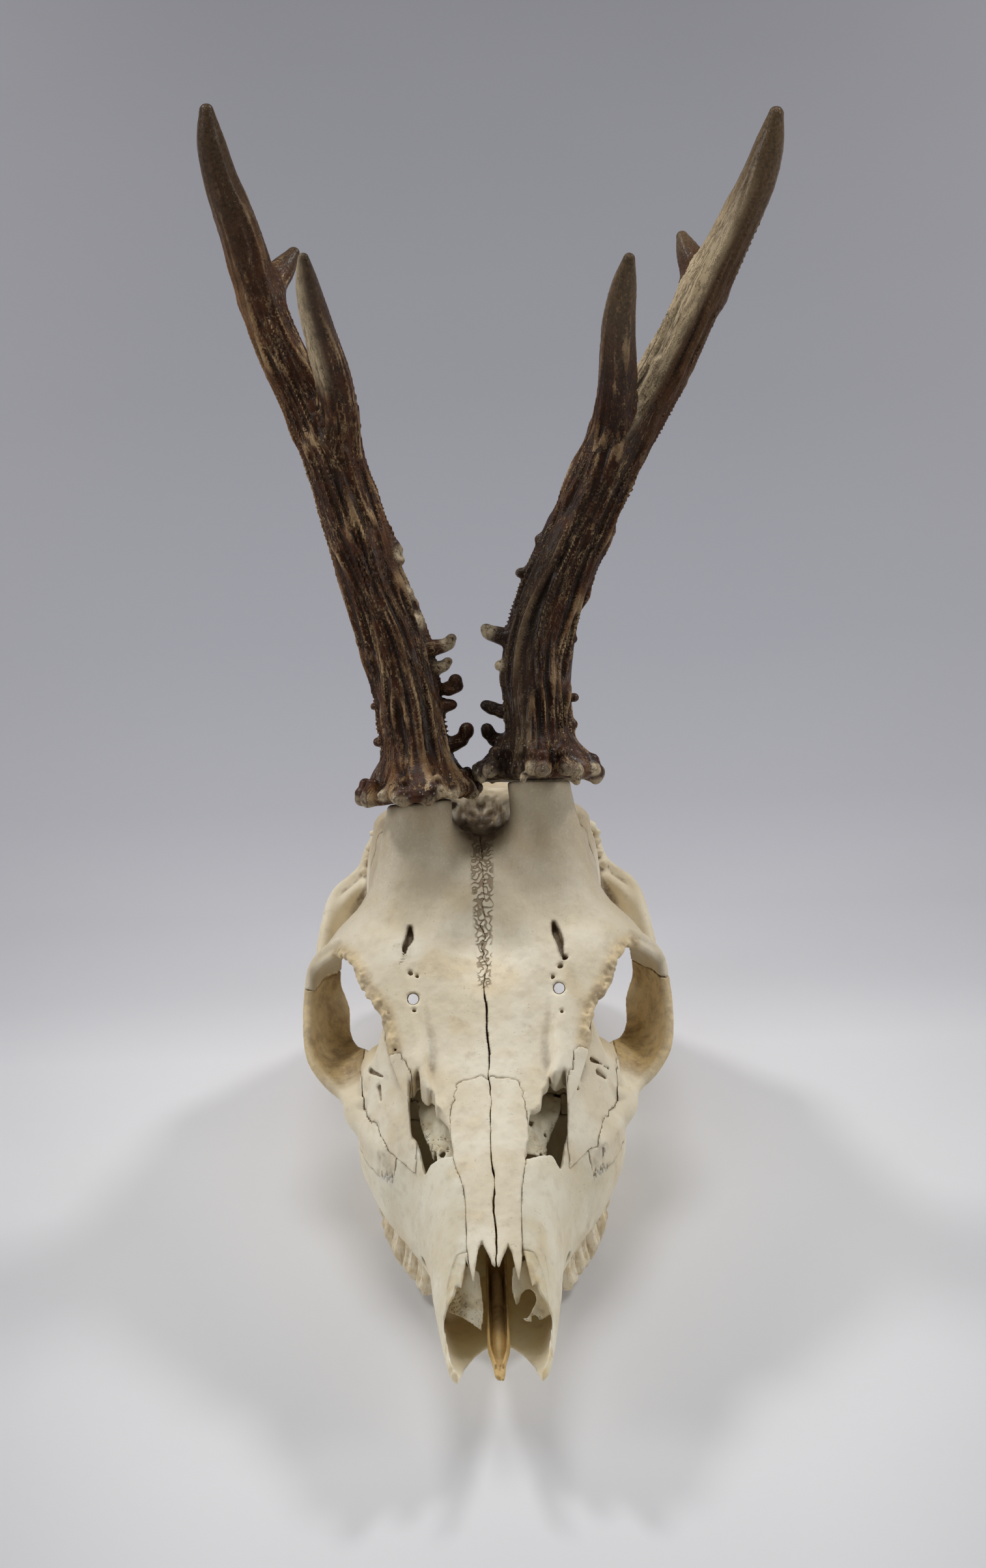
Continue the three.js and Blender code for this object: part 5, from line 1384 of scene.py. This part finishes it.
def carve_details(skull, side):
    """Grooves, holes and pockets, cut into the fine grids of the bones that hold them."""
    for drop, r in ((0, 0.75), (-1.1, 0.85), (-2.2, 0.7)):
        groove = [(x, y, z + drop, r * w) for (x, y, z), w in zip(flip(GROOVES[side], side), GROOVE_WIDTHS)]
        skull.tube(groove, 0.35, carve=True, spacing=0.8)
    skull.tube([(*p, 0.42) for p in flip(SQUIGGLES[side], side)], 0.4, carve=True, spacing=0.8)
    for x, y, z, r in PITS[side]:
        skull.tube([(x * side, y, z + 1, r), (x * side, y + 0.3, z - 2.4, r * 0.8)], 0.4, carve=True)
    bore_forehead(skull, side, 1.5)
    for path in POCKETS[side]:
        skull.tube([(*p, r) for p, r in zip(flip(path, side), (0.75, 0.35))], 0.8, carve=True, spacing=0.8)
    if side > 0:
        skull.blob((20.8, -16.3, 47.2), (0.7, 0.7, 2.5), 0.3, carve=True)
    skull.tube([(18.6, -47, 13.4, 1.1), (16.4, -42, 15, 1.5), (15, -36, 18, 1.4)], 0.8, carve=True)


def stand(field):
    """Takes off what would be under the table, which is tilted in the skull's frame."""
    _, y, z = field.mesh()
    field.keep(y * math.sin(PITCH) - z * math.cos(PITCH) - SHIFT[2] + TABLE_GAP)
    return field


def make_bones():
    solid, hollow = skull_loft()
    halves = {side: half_skull(side, solid, hollow) for side in (-1, 1)}
    for side, hand in ((-1, "right"), (1, "left")):
        teeth = stand(teeth_field(side))
        for name in ORDER:
            field = cut_bone(name, side, halves[side])
            if name == "maxilla":
                field.keep(0.1 - teeth.at(field.axes))
            lay_bone(f"bone_{name}_{hand}", name, side, stand(field), hollow, [f"{name}_{hand}"])
        lay_plain(f"teeth_{hand}", side, teeth, ENAMEL)
        lay_plain(f"turbinate_scroll_{hand}", side, turbinate_field(side), THIN,
                  [f"turbinate_{hand}"])
        lay_plain(f"ethmoid_scroll_{hand}", side, scroll_field(side), THIN)
    lay_bone("bone_braincase", "braincase", 1, stand(cut_braincase(halves)), hollow, ["braincase"])
    lay_plain("bone_vomer", 1, vomer_field(), STAINED, ["vomer"])


def roughened(points, quads, amount):
    """Gives the skin a slightly uneven, weathered run."""
    n = vertex_normals(points, quads)
    x, y, z = points.T
    swell = wave(x / 2.6, y / 2.6, z / 2.6, 51, 1) + wave(x / 1.1, y / 1.1, z / 1.1, 52, 0.6)
    return points + n * (swell * amount)[:, None]


def crease_of(field, points, reach_mm=1.2, scale=0.3):
    """How deeply each point lies in a hollow of the surface, from -1 on an edge to 1; the materials darken by
    it as painted shade.
    """
    reach = max(1, int(round(reach_mm / field.step)))
    return np.clip(-field.probe(blurred(getattr(field, "whole", field.value), reach), points) / scale, -1, 1)


def bone_marks(name, side, points, field, hollow):
    """Where a bone is yellowed, greyed, dirty or seamed, where its creases take painted shade, and where more
    shade or light is painted on it, each up to 1.
    """
    real_x, y, z = points[:, 0] * side, points[:, 1], points[:, 2]
    x = np.abs(real_x)
    flat = np.column_stack([x, y, z])
    patch = layered(real_x / 9, y / 9, z / 9, 61)
    blotch = layered(real_x / 2.5, y / 2.5, z / 2.5, 62)
    inner = (1 - ramp(hollow.probe(hollow.value, flat), 0.35, 1.1)) * (y < -12)
    marks = {
        "crease_shade": crease_of(field, points) * (1 - 0.75 * inner), "worm": np.zeros(len(points)),
        "warm": 0.25 * ramp(patch, 0.55, 0.75), "ash_and_shade": 0.22 * ramp(blotch, 0.55, 0.8),
        "dirt_and_shade": np.zeros(len(points)),
    }

    def add(mark, amount):
        marks[mark] = np.maximum(marks[mark], amount)

    # Inside the nose the warm tint is held low and the painted crease shade weakened, which is painted light
    # on the inner walls.
    if name in ("maxilla", "premaxilla", "nasal"):
        marks["warm"] = marks["warm"] * (1 - inner)
        add("warm", inner * 0.1)
    if name == "maxilla":
        add("warm", 0.4 * (1 - ramp(z, 9, 16)) * (y > -50))
    if name == "premaxilla":
        add("warm", 0.45 * ramp(blotch + 0.2, 0.5, 0.8))
    if name == "lacrimal":
        add("warm", 0.35 * ramp(y, -6, 6))
    if name == "zygomatic":
        funnel = ramp(y, 2, 12) * (1 - 0.9 * ramp(y, 26, 40) * ramp(46 - z, -2, 3))
        deep = ramp(46 - x, 2, 9)
        add("warm", funnel * (0.65 + 0.35 * deep))
        # The darkening deeper inside the orbit band, twice as strong on the right side, is painted shade; the
        # amber is the bone's own tone.
        add("dirt_and_shade", (0.6 if side < 0 else 0.3) * funnel * deep)
    if name == "frontal":
        width = 0.9 + 1.2 * ramp(y, 8, 38)
        band = 1 - ramp(np.abs(real_x + 0.6 - 0.012 * y), width, width + 1.1 + 0.8 * (blotch - 0.5))
        marks["worm"] = band * ramp(y, 4, 7) * (1 - ramp(y, 46, 49))
        # The upper forehead is greyed: partly its own grey tone, partly painted shade.
        add("ash_and_shade", (0.64 + 0.14 * ramp(patch + blotch, 0.6, 1.15)) * ramp(y, 14, 44))
        near = near_path(flat, LEDGE)
        add("warm", 0.6 * (1 - ramp(near, 1.2, 4.2)))
        add("dirt_and_shade", 0.45 * (1 - ramp(near, 0.6, 3.0)) * ramp(blotch, 0.45, 0.62))
        # Painted shade in the grooves that run to the supraorbital openings.
        sunk = [(px, py, pz - 0.8) for px, py, pz in flip(GROOVES[side], side)]
        add("dirt_and_shade", 0.95 * (1 - ramp(near_path(flat, sunk), 0.9, 1.6)))
    if name in ("braincase", "frontal"):
        # Painted shade: the hollow between the pedicles is darkened and warmed, for the shade of the coronets
        # over it.
        pit_shade = 1 - ramp(np.linalg.norm((flat - HOLLOW) / HOLLOW_STRETCH, axis=1), 4.5, 8)
        pit_shade = pit_shade * (1 - 0.8 * ramp(y + 1.5 * (z - 80), 60, 68))
        add("dirt_and_shade", 0.95 * pit_shade * ramp(blotch, 0.15, 0.5))
        add("warm", 0.8 * pit_shade)
    if name == "braincase":
        # The shelf behind the orbit is kept free of grey and nearly free of warm tint: painted light. The
        # crown round the pedicles is greyed and warmed: its own tone and painted shade.
        shelf = ramp(x, 24, 30) * ramp(y, 46, 54) * (z > 38)
        crown = ramp(z, 66, 76) * ramp(y, 44, 54)
        marks["ash_and_shade"] = marks["ash_and_shade"] * (1 - shelf)
        add("ash_and_shade", 0.75 * crown * ramp(patch + blotch, 0.6, 1.05))
        add("warm", np.maximum(0.12 * shelf, 0.35 * crown))
    depth = -field.probe(field.share, points)
    add("dirt_and_shade", 0.3 * (1 - ramp(depth, 0.05, 0.45)) * ramp(blotch, 0.4, 0.6))
    return marks


def mirrored(points, quads, side):
    if side < 0:
        points = points * np.array((-1, 1, 1))
        quads = quads[:, ::-1]
    return points, quads


def lay_bone(piece, name, side, field, hollow, nodes):
    points, quads = main_parts(*surface(field))
    marks = bone_marks(name, side, points, field, hollow)
    points = roughened(points, quads, 0.12)
    points, quads = mirrored(points, quads, side)
    material = NOSE if name in ("premaxilla", "maxilla") else BONE
    make_piece(piece, points, quads, marks, material, nodes)


def lay_plain(piece, side, field, material, nodes=()):
    points, quads = main_parts(*surface(field), least=150)
    x, y, z = points.T
    blotch = layered(x / 2.2, y / 2.2, z / 2.2, 71)
    none = np.zeros(len(points))
    # Painted shade in the creases, weaker on the vomer.
    marks = {"crease_shade": crease_of(field, points, 0.9, 0.25) * (0.35 if material is STAINED else 1),
             "worm": none,
             "warm": 0.35 * ramp(blotch, 0.45, 0.7), "ash_and_shade": none, "dirt_and_shade": 0.35 * ramp(blotch, 0.6, 0.8)}
    points = roughened(points, quads, 0.05)
    points, quads = mirrored(points, quads, side)
    make_piece(piece, points, quads, marks, material, nodes)


def make_antlers():
    for side, hand in ((-1, "right"), (1, "left")):
        points, quads, marks = antler(side)
        material = antler_material(f"antler_{hand}_skin", *ANTLER_TONES[side])
        nodes = [f"antler_{hand}_{part}" for part in ("beam", "front_tine", "rear_tine", "top_tine")]
        make_piece(f"antler_{hand}", points, quads, marks, material, nodes)


# ---------------------------------------------------------------- floor and light
# Painted light falloff of the floor along y in metres: value of the grey.
FLOOR_LIGHT_FALLOFF = [
    (-0.20, 0.74), (0.0, 0.87), (0.04, 0.82), (0.065, 0.66), (0.10, 0.50), (0.15, 0.40), (0.23, 0.33),
    (0.36, 0.27), (0.62, 0.22),
]
FLOOR_HALF = 3.0
# Name, place in metres, diameter and watts.
LAMPS = [
    ("lamp_left", (-1.36, -0.24, 0.75), 0.6, 6), ("lamp_right", (1.36, -0.24, 0.75), 0.6, 5.5),
    ("lamp_back_left", (-0.85, 0.8, 0.94), 0.2, 6), ("lamp_back_right", (0.85, 0.8, 0.94), 0.2, 6),
    ("lamp_top", (-0.06, 0.5, 1.4), 0.6, 5.5),
]
LAMP_TARGET = (0, 0, 0.05)
WORLD_STRENGTH = 0.12


def make_floor():
    n = Nodes("studio_floor")
    split = n.new("ShaderNodeSeparateXYZ")
    n.link(n.coords, split.inputs[0])
    # Painted light: the floor is lightest near the skull and darkens away from it along y.
    along = n.span(split.outputs["Y"], FLOOR_LIGHT_FALLOFF[0][0], FLOOR_LIGHT_FALLOFF[-1][0])
    along.node.interpolation_type = "LINEAR"
    curve = n.new("ShaderNodeValToRGB")
    n.link(along, curve.inputs[0])
    first, last = FLOOR_LIGHT_FALLOFF[0][0], FLOOR_LIGHT_FALLOFF[-1][0]
    marks = curve.color_ramp.elements
    while len(marks) < len(FLOOR_LIGHT_FALLOFF):
        marks.new(0.5)
    for element, (y, shade) in zip(marks, FLOOR_LIGHT_FALLOFF):
        element.position = (y - first) / (last - first)
        element.color = (shade, shade, shade * (1.02 + 0.10 * min(1, max(0, y) * 5)), 1)
    cloud = n.noise(90, 2)
    # Painted shade: the floor darkens towards both sides.
    side_shade = n.span(n.math("ABSOLUTE", split.outputs["X"]), 0.06, 0.19, 0.0, 0.46)
    shaded = n.mix(side_shade, curve.outputs[0], (0.30, 0.30, 0.32))
    n.put(n.shader.inputs["Base Color"], n.cover(shaded, cloud, 0.05, (0.5, 0.5, 0.52)))
    n.put(n.shader.inputs["Roughness"], n.span(n.noise(6, 2), 0.3, 0.7, 0.75, 0.85))
    n.put(n.shader.inputs["Normal"], n.bump(n.noise(1.5, 2), 0.08, 0.1))
    mesh = bpy.data.meshes.new("floor")
    r = FLOOR_HALF
    mesh.from_pydata([(-r, -r, 0), (r, -r, 0), (r, r, 0), (-r, r, 0)], [], [(0, 1, 2, 3)])
    mesh.materials.append(n.material)
    floor = bpy.data.objects.new("floor", mesh)
    bpy.context.scene.collection.objects.link(floor)


def make_lamp(name, place, size, power):
    data = bpy.data.lights.new(name, "AREA")
    data.shape = "DISK"
    data.size = size
    data.energy = power
    lamp = bpy.data.objects.new(name, data)
    lamp.location = place
    lamp.rotation_euler = (Vector(LAMP_TARGET) - Vector(place)).to_track_quat("-Z", "Y").to_euler()
    bpy.context.scene.collection.objects.link(lamp)


def make_light():
    for lamp in LAMPS:
        make_lamp(*lamp)
    world = bpy.data.worlds.new("studio")
    world.use_nodes = True
    background = world.node_tree.nodes["Background"]
    background.inputs["Color"].default_value = (1, 1, 1.02, 1)
    background.inputs["Strength"].default_value = WORLD_STRENGTH
    bpy.context.scene.world = world
    bpy.context.scene.view_settings.view_transform = "Standard"


make_bones()
make_antlers()
make_floor()
make_light()
